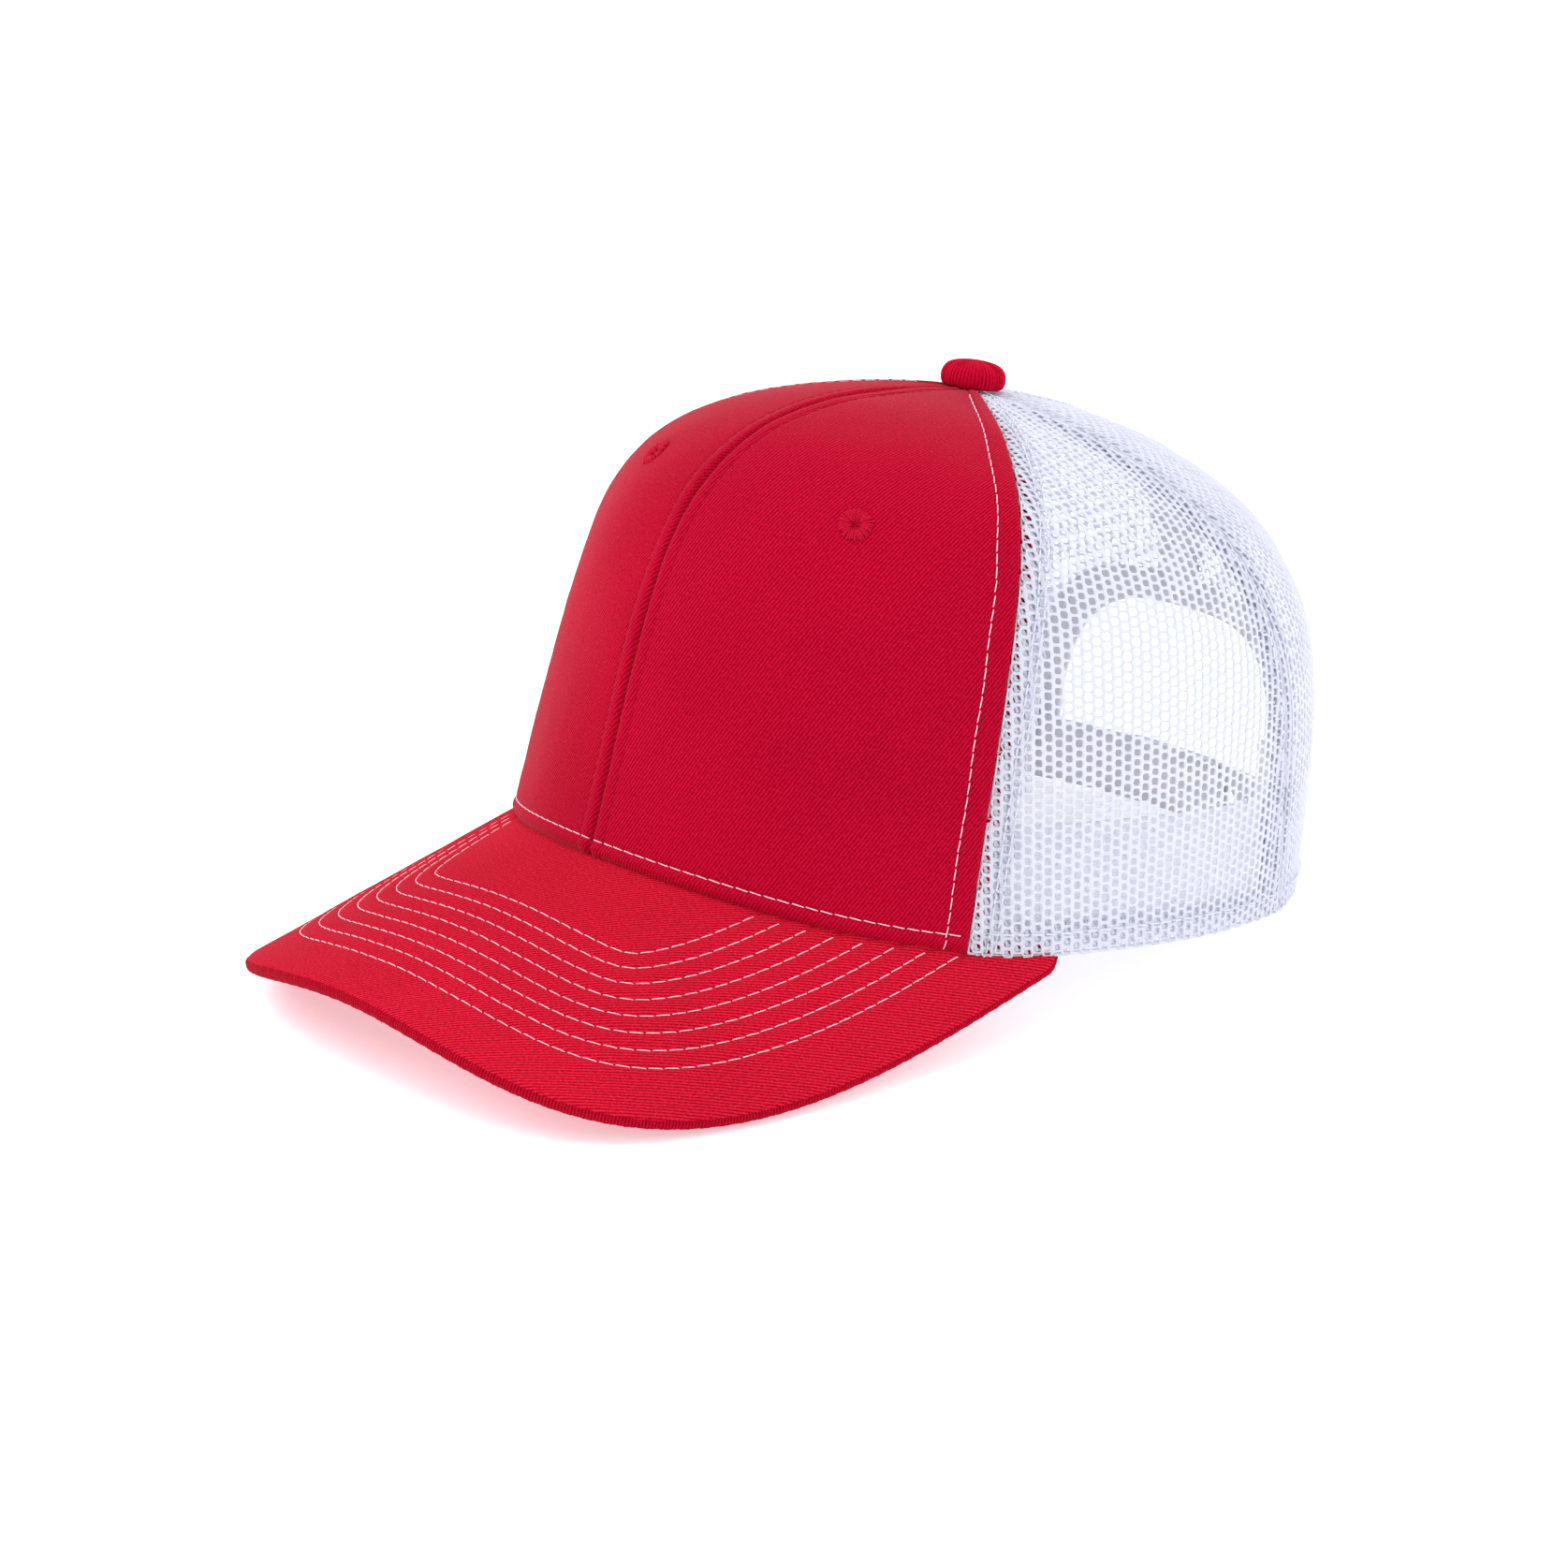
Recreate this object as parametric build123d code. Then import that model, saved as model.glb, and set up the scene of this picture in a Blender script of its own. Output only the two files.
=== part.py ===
from build123d import *
import math
import os

# Trucker mesh cap, millimetres and degrees.
# The crown is modelled in its own frame first: +Z through the button, the visor towards -Y,
# the wearer's left towards +X. Azimuth 0 is the centre front and +90 is the wearer's left.
# Last of all the cap is tipped back until it rests on the visor's corners and the back hem.

# Plan of the rim: a mean radius and the waves that make it an egg-shaped oval.
RIM_WAVES = (94.2, -1.6, 5.4, 1.25, 0.2)
CROWN_HEIGHT = 120.4
APEX_SETBACK = 3.3
BACK_RIM_HEIGHT = 11.8
# Profile of the wall at each azimuth, as a mean value and waves round the crown.
TOP_FLATNESS = (6.35, 1.35, -0.4, -1.3)
SHOULDER_ROUNDNESS = (1.84, 0.26, 0.46, 0.23)
WALL_LEAN = (0.1, 0.01, 0.055, -0.05)
PROFILE_SPACING = 1.5
# Seams: azimuth at the rim, and how far it drifts on the way to the button.
FRONT_SEAM = 55.9
FRONT_SEAM_DRIFT = 1.0
BACK_SEAM = 119.0
BACK_SEAM_DRIFT = -15.8
SEAM_GAP = 0.2
BUTTON_HOLE_RADIUS = 4.5

# Visor: a flat pattern bent over a cylinder that slopes down to the front.
VISOR_BEND_RADIUS = 124.9
VISOR_SLOPE = 22.35
VISOR_RIDGE = 49.1
VISOR_HALF_WIDTH = 92.9
VISOR_START = 30.0
VISOR_REACH = 126.7
VISOR_SQUARENESS = 3.23
VISOR_TIP_AZIMUTH = 70.4
VISOR_TUCK = 0.7
BOARD_INSET = 1.2
COVER_THICKNESS = 0.8
BOARD_THICKNESS = 1.7
LAYER_GAP = 0.15

# Layers of the crown, measured inwards from its outer face.
PANEL_THICKNESS = 0.9
BUCKRAM = (1.0, 1.6)
TAPE = (1.8, 2.4)
TAPE_WIDTH = 12.0
TAPE_END_RADIUS = 18.0
BUCKRAM_END_RADIUS = 10.0
PANEL_LIFT = 1.1
BUCKRAM_LIFT = 1.6
TAPE_LIFT = 3.0

# Sweatband, which steps inwards near the back to let the strap ends in behind it.
BAND_HEIGHT = 29.5
BAND_LIFT = 0.8
BAND_DEPTH_FRONT = 2.7
BAND_DEPTH_BACK = 5.2
BAND_THICKNESS = 1.1
BAND_STEP = (118.0, 138.0)
BAND_END = 155.0

# Opening at the back and the tape that binds it.
ARCH_HALF_WIDTH = 37.5
ARCH_HEIGHT = 54.0
ARCH_SQUARENESS = 3.4
BINDING_DEPTH = (1.1, 1.7)
BINDING_WIDTH = 8.0

# Snap strap: a holed half outside a pegged half, each hinged where it is sewn in.
STRAP_BOTTOM = 0.9
STRAP_TOP = 17.3
STRAP_THICKNESS = 1.2
HOLE_STRAP_DEPTH = 2.0
PEG_STRAP_DEPTH = 3.55
HINGE_X = 35.2
FREE_END_GAP = 0.4
TAB_GAP = 1.0
TAB_LENGTH = 9.0
SNAP_PITCH = 4.4
HOLE_STEPS = range(-4, 3)
PEG_STEPS = range(-2, 5)
HOLE_STRAP_TIP = 2.75
HOLE_RADIUS = 2.1
PEG_RADIUS = 1.1
PEG_HEAD_RADIUS = 1.35
PEG_HEIGHT = 2.2
PEG_ROOT = 0.5

# Button and eyelets.
BUTTON_RADIUS = 7.7
BUTTON_HEIGHT = 6.2
BUTTON_SKIN = 0.8
BUTTON_SEAT = 0.15
RIVET_RADIUS = 1.5
WASHER_RADIUS = 7.2
WASHER_THICKNESS = 0.8
WASHER_DROP = 1.5
EYELET_LEFT = (29.0, 0.637)
EYELET_RIGHT = (-19.0, 0.676)
EYELET_HOLE = 1.5
EYELET_RIM = 4.2
EYELET_PROUD = 0.8
EYELET_SEAT = 0.25

# How far the cap is tipped back when it rests.
REST_TIP = -10.45


def wave(values, azimuth):
    turn = math.radians(azimuth)
    return sum(value * math.cos(step * turn) for step, value in enumerate(values))


def signed_power(value, power):
    return math.copysign(abs(value) ** power, value)


def smooth_step(value, low, high):
    share = min(max((value - low) / (high - low), 0.0), 1.0)
    return share * share * (3 - 2 * share)


def visor_height(x, y):
    """Height of the visor's upper face at a place in plan."""
    sag = VISOR_BEND_RADIUS - math.sqrt(max(VISOR_BEND_RADIUS**2 - x * x, 1.0))
    slope = math.radians(VISOR_SLOPE)
    return (VISOR_RIDGE - sag + y * math.sin(slope)) / math.cos(slope)


def visor_line(azimuth):
    radius = wave(RIM_WAVES, azimuth)
    turn = math.radians(azimuth)
    return visor_height(radius * math.sin(turn), -radius * math.cos(turn))


def rim_height(azimuth):
    """The rim follows the visor in front, then runs smoothly down to the back."""
    place = abs((azimuth + 180) % 360 - 180)
    if place <= VISOR_TIP_AZIMUTH:
        return visor_line(place)
    start = visor_line(VISOR_TIP_AZIMUTH)
    slope = (start - visor_line(VISOR_TIP_AZIMUTH - 0.5)) / 0.5
    span = 180 - VISOR_TIP_AZIMUTH
    t = (place - VISOR_TIP_AZIMUTH) / span
    leave = (2 * t**3 - 3 * t**2 + 1) * start + (t**3 - 2 * t**2 + t) * span * slope
    return leave + (3 * t**2 - 2 * t**3) * BACK_RIM_HEIGHT


def crown_skin(azimuth, climb):
    """A point of the crown's outer face; climb runs from 0 at the rim to 1 at the button."""
    turn = math.radians(azimuth)
    rise = 1 - (1 - climb) ** PROFILE_SPACING
    flatness = wave(TOP_FLATNESS, azimuth)
    closing = max(1 - rise**flatness, 0.0) ** (1 / wave(SHOULDER_ROUNDNESS, azimuth))
    radius = wave(RIM_WAVES, azimuth) * closing * (1 - wave(WALL_LEAN, azimuth) * rise)
    rim = rim_height(azimuth)
    return Vector(
        radius * math.sin(turn),
        -radius * math.cos(turn) + APEX_SETBACK * rise,
        rim + (CROWN_HEIGHT - rim) * rise,
    )


def crown_inward(azimuth, climb):
    low = max(climb - 0.004, 0.0)
    high = min(climb + 0.004, 1.0)
    across = crown_skin(azimuth + 0.5, climb) - crown_skin(azimuth - 0.5, climb)
    up = crown_skin(azimuth, high) - crown_skin(azimuth, low)
    return up.cross(across).normalized()


def crown_point(azimuth, climb, depth):
    return crown_skin(azimuth, climb) + crown_inward(azimuth, climb) * depth


def bisect(test, low, high):
    """The place between low and high where test turns from true to false."""
    for _ in range(40):
        middle = (low + high) / 2
        if test(middle):
            low = middle
        else:
            high = middle
    return (low + high) / 2


def climb_at_radius(azimuth, radius):
    def outside(climb):
        place = crown_skin(azimuth, climb)
        return math.hypot(place.X, place.Y - APEX_SETBACK) > radius

    return bisect(outside, 0.5, 0.9999)


def climb_at_height(azimuth, height):
    rim = rim_height(azimuth)
    share = min(max(height / (CROWN_HEIGHT - rim), 0.0), 1.0)
    return 1 - (1 - share) ** (1 / PROFILE_SPACING)


def azimuth_at_x(x, depth, height):
    """Azimuth on the wearer's left of the back where the wall stands at x."""
    def further_out(azimuth):
        return crown_point(azimuth, climb_at_height(azimuth, height), depth).X > x

    return bisect(further_out, 100.0, 180.0)


def skin_face(grid):
    return Face.make_surface_from_array_of_points(grid)


def edge_between(face, start, end):
    """The boundary edge of a face that runs between two of its corners."""
    def miss(edge):
        a = edge.position_at(0)
        b = edge.position_at(1)
        one_way = (a - start).length + (b - end).length
        return min(one_way, (a - end).length + (b - start).length)

    return min(face.edges(), key=miss)


def slab(outer, inner):
    """A closed solid between two matching grids of points."""
    faces = [skin_face(outer), skin_face(inner)]
    corners = [(0, 0), (-1, 0), (-1, -1), (0, -1)]
    for index, start in enumerate(corners):
        end = corners[(index + 1) % 4]
        sides = []
        for face, grid in zip(faces[:2], (outer, inner)):
            first = grid[start[0]][start[1]]
            last = grid[end[0]][end[1]]
            sides.append(edge_between(face, first, last))
        faces.append(Face.make_surface_from_curves(*sides))
    return Solid(Shell(faces))


def side_line(limit, bottom, top, share):
    """Azimuth of a patch's side at one row, where the limit depends on the climb."""
    climb = share
    for _ in range(4):
        azimuth = limit(climb)
        low = bottom(azimuth)
        climb = low + (top(azimuth) - low) * share
    return limit(climb)


def patch(left, right, bottom, top, depths, columns, rows):
    """A slab of the crown between two side lines, a bottom and a top, at two depths."""
    grids = []
    for depth in depths:
        grid = []
        for i in range(columns + 1):
            line = []
            for j in range(rows + 1):
                share = j / rows
                first = side_line(left, bottom, top, share)
                last = side_line(right, bottom, top, share)
                azimuth = first + (last - first) * i / columns
                low = bottom(azimuth)
                climb = low + (top(azimuth) - low) * share
                line.append(crown_point(azimuth, climb, depth(azimuth)))
            grid.append(line)
        grids.append(grid)
    return slab(*grids)


def constant(number):
    return lambda place: number


def at_height(height):
    return lambda azimuth: climb_at_height(azimuth, height)


def seam(base, drift):
    return lambda climb: base + drift * math.sin(climb * math.pi / 2)


def beside(seam_line, offset):
    """Azimuth of a line that runs beside a seam, offset in millimetres along the crown."""
    def line(climb):
        azimuth = seam_line(climb)
        place = crown_skin(azimuth, min(climb, 0.985))
        radius = max(math.hypot(place.X, place.Y - APEX_SETBACK), BUTTON_HOLE_RADIUS)
        return azimuth + math.degrees(offset / radius)

    return line


def lifted(amount):
    """Where a layer starts: above the visor in front, and at the rim behind it."""
    def start(azimuth):
        place = abs((azimuth + 180) % 360 - 180)
        share = 1 - smooth_step(place, VISOR_TIP_AZIMUTH + 2, VISOR_TIP_AZIMUTH + 16)
        return climb_at_height(azimuth, amount * share)

    return start


def up_to_radius(radius):
    return lambda azimuth: climb_at_radius(azimuth, radius)


FRONT_CENTRE = seam(0.0, 0.0)
BACK_CENTRE = seam(180.0, 0.0)
LEFT_FRONT = seam(FRONT_SEAM, FRONT_SEAM_DRIFT)
LEFT_BACK = seam(BACK_SEAM, BACK_SEAM_DRIFT)


def crown_panel(first, last, lift, depths, end_radius, columns):
    return patch(
        beside(first, SEAM_GAP / 2),
        beside(last, -SEAM_GAP / 2),
        lifted(lift),
        up_to_radius(end_radius),
        [constant(depth) for depth in depths],
        columns,
        24,
    )


def seam_tape(seam_line, bottom):
    return patch(
        beside(seam_line, -TAPE_WIDTH / 2),
        beside(seam_line, TAPE_WIDTH / 2),
        bottom,
        up_to_radius(TAPE_END_RADIUS),
        [constant(depth) for depth in TAPE],
        4,
        22,
    )


def arch_edge(angle, margin):
    """Point in X and height on the back opening's edge, moved outwards by margin."""
    power = 2 / ARCH_SQUARENESS
    x = signed_power(math.cos(angle), power) * (ARCH_HALF_WIDTH + margin)
    height = abs(math.sin(angle)) ** power * (ARCH_HEIGHT + margin)
    return x, height


def arch_cutter():
    """A prism through the back wall, from well below the rim up to the arch."""
    depth = -40.0
    points = [(ARCH_HALF_WIDTH, depth)]
    points += [arch_edge(math.pi * step / 48, 0.0) for step in range(49)]
    points.append((-ARCH_HALF_WIDTH, depth))
    outline = [Vector(x, 40, BACK_RIM_HEIGHT + height) for x, height in points]
    return Solid.extrude(Face(Wire.make_polygon(outline, close=True)), Vector(0, 120, 0))


def wall_point(x, height, depth):
    """A point of the back wall from its X and its height above the back rim."""
    level = BACK_RIM_HEIGHT + height

    def climb_for(azimuth):
        rim = rim_height(azimuth)
        share = max((level - rim) / (CROWN_HEIGHT - rim), 0.0)
        return 1 - (1 - share) ** (1 / PROFILE_SPACING)

    def further_out(azimuth):
        return crown_skin(azimuth, climb_for(azimuth)).X > abs(x)

    azimuth = bisect(further_out, 110.0, 180.0)
    if x < 0:
        azimuth = 360 - azimuth
    return crown_point(azimuth, climb_for(azimuth), depth)


def binding():
    grids = []
    for depth in BINDING_DEPTH:
        grid = []
        for step in range(65):
            angle = math.radians(2) + (math.pi - math.radians(4)) * step / 64
            line = []
            for margin in (0.3, BINDING_WIDTH / 2, BINDING_WIDTH):
                x, height = arch_edge(angle, margin)
                line.append(wall_point(x, height, depth))
            grid.append(line)
        grids.append(grid)
    return slab(*grids)


def strap_strip(first, last, depth):
    """A strip of the strap between two azimuths on the wearer's left."""
    return patch(
        constant(first),
        constant(last),
        at_height(STRAP_BOTTOM),
        at_height(STRAP_TOP),
        (constant(depth), constant(depth + STRAP_THICKNESS)),
        14,
        4,
    )


def snap_frame(step, depth):
    """Place and outward direction of one snap position in the strap."""
    azimuth = 180 + step * SNAP_PITCH
    climb = climb_at_height(azimuth, (STRAP_BOTTOM + STRAP_TOP) / 2)
    return crown_point(azimuth, climb, depth), crown_inward(azimuth, climb) * -1


def snap_pin(step, depth, start, radius, length):
    place, outward = snap_frame(step, depth)
    base = Plane(origin=place + outward * start, z_dir=outward)
    return Solid.make_cylinder(radius, length, base)


def mirrored(solid):
    return solid.mirror(Plane.YZ)


def hole_strap():
    hinge = azimuth_at_x(HINGE_X - FREE_END_GAP, HOLE_STRAP_DEPTH, STRAP_TOP / 2)
    strip = strap_strip(hinge, 180 + SNAP_PITCH * HOLE_STRAP_TIP, HOLE_STRAP_DEPTH)
    for step in HOLE_STEPS:
        strip = strip - snap_pin(step, HOLE_STRAP_DEPTH, -3.0, HOLE_RADIUS, 6.0)
    return strip


def peg_strap():
    hinge = azimuth_at_x(HINGE_X - FREE_END_GAP, PEG_STRAP_DEPTH, STRAP_TOP / 2)
    tip = 180 - SNAP_PITCH * (PEG_STEPS[0] - 0.75)
    strip = mirrored(strap_strip(hinge, tip, PEG_STRAP_DEPTH))
    for step in PEG_STEPS:
        neck = snap_pin(step, PEG_STRAP_DEPTH, -PEG_ROOT, PEG_RADIUS, PEG_ROOT + PEG_HEIGHT)
        head = snap_pin(step, PEG_STRAP_DEPTH, PEG_HEIGHT - 0.5, PEG_HEAD_RADIUS, 0.5)
        strip = strip + neck + head
    return strip


def strap_tab(depth):
    near = azimuth_at_x(HINGE_X + TAB_GAP, depth, STRAP_TOP / 2)
    far = azimuth_at_x(HINGE_X + TAB_GAP + TAB_LENGTH, depth, STRAP_TOP / 2)
    return strap_strip(far, near, depth)


def band_depth(extra):
    def depth(azimuth):
        share = smooth_step(abs(azimuth), *BAND_STEP)
        return BAND_DEPTH_FRONT + (BAND_DEPTH_BACK - BAND_DEPTH_FRONT) * share + extra

    return depth


def sweatband():
    return patch(
        constant(-BAND_END),
        constant(BAND_END),
        at_height(BAND_LIFT),
        at_height(BAND_HEIGHT),
        (band_depth(0.0), band_depth(BAND_THICKNESS)),
        72,
        6,
    )


def visor_point(across, forward, depth):
    slope = math.radians(VISOR_SLOPE)
    turn = across / VISOR_BEND_RADIUS
    radius = VISOR_BEND_RADIUS - depth
    lift = VISOR_RIDGE - VISOR_BEND_RADIUS + radius * math.cos(turn)
    return Vector(
        radius * math.sin(turn),
        -forward * math.cos(slope) - lift * math.sin(slope),
        -forward * math.sin(slope) + lift * math.cos(slope),
    )


def visor_inner(share, inset):
    """The visor's edge under the crown, in its flat pattern."""
    azimuth = VISOR_TIP_AZIMUTH * (1 - 2 * share)
    turn = math.radians(azimuth)
    radius = wave(RIM_WAVES, azimuth) - VISOR_TUCK + inset
    x = radius * math.sin(turn)
    y = -radius * math.cos(turn)
    slope = math.radians(VISOR_SLOPE)
    bend = math.asin(x / VISOR_BEND_RADIUS)
    lift = VISOR_RIDGE - VISOR_BEND_RADIUS * (1 - math.cos(bend))
    return VISOR_BEND_RADIUS * bend, -(y + lift * math.sin(slope)) / math.cos(slope)


def visor_outer(share, inset):
    power = 2 / VISOR_SQUARENESS
    angle = math.pi * share
    across = signed_power(math.cos(angle), power) * (VISOR_HALF_WIDTH - inset)
    forward = VISOR_START + (VISOR_REACH - inset) * math.sin(angle) ** power
    return across, forward


def visor_shares(columns):
    """Even steps along the outer edge, as shares of its angle."""
    fine = [step / 600 for step in range(601)]
    points = [visor_outer(share, 0.0) for share in fine]
    run = [0.0]
    for a, b in zip(points, points[1:]):
        run.append(run[-1] + math.dist(a, b))
    shares = []
    for column in range(columns + 1):
        target = run[-1] * column / columns
        place = min(range(len(run)), key=lambda index: abs(run[index] - target))
        shares.append(fine[place])
    return shares


def visor_layer(top, thickness, inset):
    grids = []
    shares = visor_shares(44)
    for depth in (top, top + thickness):
        grid = []
        for column, share in enumerate(shares):
            inner = visor_inner(column / (len(shares) - 1), inset)
            outer = visor_outer(share, inset)
            line = []
            for row in range(7):
                part = row / 6
                across = inner[0] + (outer[0] - inner[0]) * part
                forward = inner[1] + (outer[1] - inner[1]) * part
                line.append(visor_point(across, forward, depth))
            grid.append(line)
        grids.append(grid)
    return slab(*grids)


def dome(radius, height, seat):
    """A button-shaped solid of revolution that stands on the crown's top."""
    base = CROWN_HEIGHT + seat
    bulge = base + height * 0.35
    with BuildPart() as shape:
        with BuildSketch(Plane.XZ):
            with BuildLine():
                Line((0, base), (radius * 0.86, base))
                Spline(
                    (radius * 0.86, base),
                    (radius, bulge),
                    (radius * 0.8, base + height * 0.86),
                    (0, base + height),
                    tangents=((1, 0.4), (-1, 0)),
                )
                Line((0, base + height), (0, base))
            make_face()
        revolve(axis=Axis.Z)
    return shape.part.solids()[0].translate(Vector(0, APEX_SETBACK, 0))


def lathe(radius, low, high):
    base = Plane(origin=(0, APEX_SETBACK, low))
    return Solid.make_cylinder(radius, high - low, base)


def button_core():
    return dome(BUTTON_RADIUS - BUTTON_SKIN, BUTTON_HEIGHT - BUTTON_SKIN - 0.4, BUTTON_SEAT + 0.4)


def button_cover():
    skin = dome(BUTTON_RADIUS, BUTTON_HEIGHT, BUTTON_SEAT)
    hollow = dome(BUTTON_RADIUS - BUTTON_SKIN + 0.04, BUTTON_HEIGHT - BUTTON_SKIN - 0.35, BUTTON_SEAT + 0.39)
    mouth = lathe(BUTTON_RADIUS * 0.72, CROWN_HEIGHT - 1, CROWN_HEIGHT + BUTTON_SEAT + 0.6)
    return skin - hollow - mouth


def button_rivet():
    """Shank under the button with the washer that holds the panels together."""
    top = CROWN_HEIGHT + BUTTON_SEAT + 0.35
    washer_top = CROWN_HEIGHT - WASHER_DROP
    shank = lathe(RIVET_RADIUS, washer_top - WASHER_THICKNESS, top)
    return shank + lathe(WASHER_RADIUS, washer_top - WASHER_THICKNESS, washer_top)


def eyelet_plane(place):
    azimuth, climb = place
    outward = crown_inward(azimuth, climb) * -1
    return Plane(origin=crown_skin(azimuth, climb) + outward * EYELET_SEAT, z_dir=outward)


def eyelet(place):
    seat = eyelet_plane(place)
    ring = Solid.make_cylinder(EYELET_RIM, EYELET_PROUD, seat)
    ring = ring - Solid.make_cylinder(EYELET_HOLE, 3 * EYELET_PROUD, seat.offset(-EYELET_PROUD))
    return ring.fillet(EYELET_PROUD * 0.45, ring.edges().filter_by(GeomType.CIRCLE))


def eyelet_drill(place):
    return Solid.make_cylinder(EYELET_HOLE, 12, eyelet_plane(place).offset(-8))


def one_solid(shape):
    return max(shape.solids(), key=lambda solid: solid.volume)


def build_parts():
    parts = {}
    left_front = crown_panel(
        FRONT_CENTRE, LEFT_FRONT, PANEL_LIFT, (0.0, PANEL_THICKNESS), BUTTON_HOLE_RADIUS, 14
    )
    left_buckram = crown_panel(
        FRONT_CENTRE, LEFT_FRONT, BUCKRAM_LIFT, BUCKRAM, BUCKRAM_END_RADIUS, 14
    )
    left_side = crown_panel(
        LEFT_FRONT, LEFT_BACK, PANEL_LIFT, (0.0, PANEL_THICKNESS), BUTTON_HOLE_RADIUS, 16
    )
    left_back = crown_panel(
        LEFT_BACK, BACK_CENTRE, PANEL_LIFT, (0.0, PANEL_THICKNESS), BUTTON_HOLE_RADIUS, 16
    )
    left_back = one_solid(left_back - arch_cutter())
    drills = {"left": eyelet_drill(EYELET_LEFT), "right": eyelet_drill(EYELET_RIGHT)}
    front = {"left": left_front, "right": mirrored(left_front)}
    buckram = {"left": left_buckram, "right": mirrored(left_buckram)}
    for side in ("left", "right"):
        parts["front_panel_" + side] = one_solid(front[side] - drills[side])
        parts["buckram_" + side] = one_solid(buckram[side] - drills[side])
    parts["side_mesh_left"] = left_side
    parts["side_mesh_right"] = mirrored(left_side)
    parts["back_mesh_left"] = left_back
    parts["back_mesh_right"] = mirrored(left_back)

    parts["centre_front_tape"] = seam_tape(FRONT_CENTRE, lifted(TAPE_LIFT))
    front_tape = seam_tape(LEFT_FRONT, lifted(TAPE_LIFT))
    back_tape = seam_tape(LEFT_BACK, lifted(TAPE_LIFT))
    parts["front_seam_tape_left"] = front_tape
    parts["front_seam_tape_right"] = mirrored(front_tape)
    parts["side_seam_tape_left"] = back_tape
    parts["side_seam_tape_right"] = mirrored(back_tape)
    above_arch = at_height(ARCH_HEIGHT + BINDING_WIDTH + 1)
    parts["centre_back_tape"] = seam_tape(BACK_CENTRE, above_arch)
    parts["sweatband"] = sweatband()
    parts["back_opening_binding"] = binding()

    depth = COVER_THICKNESS + LAYER_GAP
    parts["visor_top_cover"] = visor_layer(0.0, COVER_THICKNESS, 0.0)
    parts["visor_board"] = visor_layer(depth, BOARD_THICKNESS, BOARD_INSET)
    depth += BOARD_THICKNESS + LAYER_GAP
    parts["visor_under_cover"] = visor_layer(depth, COVER_THICKNESS, 0.0)

    parts["hole_strap"] = one_solid(hole_strap())
    parts["hole_strap_tab"] = strap_tab(HOLE_STRAP_DEPTH)
    parts["peg_strap"] = one_solid(peg_strap())
    parts["peg_strap_tab"] = mirrored(strap_tab(PEG_STRAP_DEPTH))

    parts["button_cover"] = one_solid(button_cover())
    parts["button_core"] = button_core()
    parts["button_rivet"] = one_solid(button_rivet())
    parts["eyelet_left"] = eyelet(EYELET_LEFT)
    parts["eyelet_right"] = eyelet(EYELET_RIGHT)
    return parts


def rest(parts):
    """Tips the cap back and puts the origin at the bottom centre of its box."""
    tipped = {name: part.rotate(Axis.X, REST_TIP) for name, part in parts.items()}
    box = Compound(list(tipped.values())).bounding_box()
    shift = Vector(-(box.min.X + box.max.X) / 2, -(box.min.Y + box.max.Y) / 2, -box.min.Z)
    print("shift", shift, "size", box.size)
    return {name: part.translate(shift) for name, part in tipped.items()}, shift


def strap_hinge(depth, side, shift):
    """Place and direction of a strap's hinge line in the resting frame."""
    ends = []
    for height in (STRAP_BOTTOM, STRAP_TOP):
        azimuth = azimuth_at_x(HINGE_X, depth, height)
        point = crown_point(azimuth, climb_at_height(azimuth, height), depth)
        ends.append(Vector(side * point.X, point.Y, point.Z).rotate(Axis.X, REST_TIP) + shift)
    return ends[0], (ends[1] - ends[0]).normalized()


def main():
    os.makedirs("parts", exist_ok=True)
    parts, shift = rest(build_parts())
    for name, part in parts.items():
        export_step(part, "parts/" + name + ".step")
    middle = STRAP_THICKNESS / 2
    print("hole strap hinge", strap_hinge(HOLE_STRAP_DEPTH + middle, 1, shift))
    print("peg strap hinge", strap_hinge(PEG_STRAP_DEPTH + middle, -1, shift))


main()
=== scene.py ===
import math

import bmesh
import bpy
import numpy as np
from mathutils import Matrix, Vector


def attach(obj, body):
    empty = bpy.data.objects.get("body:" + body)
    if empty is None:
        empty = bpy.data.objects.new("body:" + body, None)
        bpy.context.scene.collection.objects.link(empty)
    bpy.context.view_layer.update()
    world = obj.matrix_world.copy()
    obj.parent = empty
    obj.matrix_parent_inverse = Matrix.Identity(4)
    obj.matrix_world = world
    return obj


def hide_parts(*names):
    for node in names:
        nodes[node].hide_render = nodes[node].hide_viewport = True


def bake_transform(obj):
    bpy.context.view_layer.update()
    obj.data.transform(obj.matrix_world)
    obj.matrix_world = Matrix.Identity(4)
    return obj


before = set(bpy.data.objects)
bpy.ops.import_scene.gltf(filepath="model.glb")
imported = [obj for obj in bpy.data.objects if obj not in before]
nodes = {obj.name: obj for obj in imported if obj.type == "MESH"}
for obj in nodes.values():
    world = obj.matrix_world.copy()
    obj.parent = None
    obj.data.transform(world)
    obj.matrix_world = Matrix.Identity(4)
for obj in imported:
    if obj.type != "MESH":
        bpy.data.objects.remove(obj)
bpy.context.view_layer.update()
rng = np.random.default_rng(7)

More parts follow.
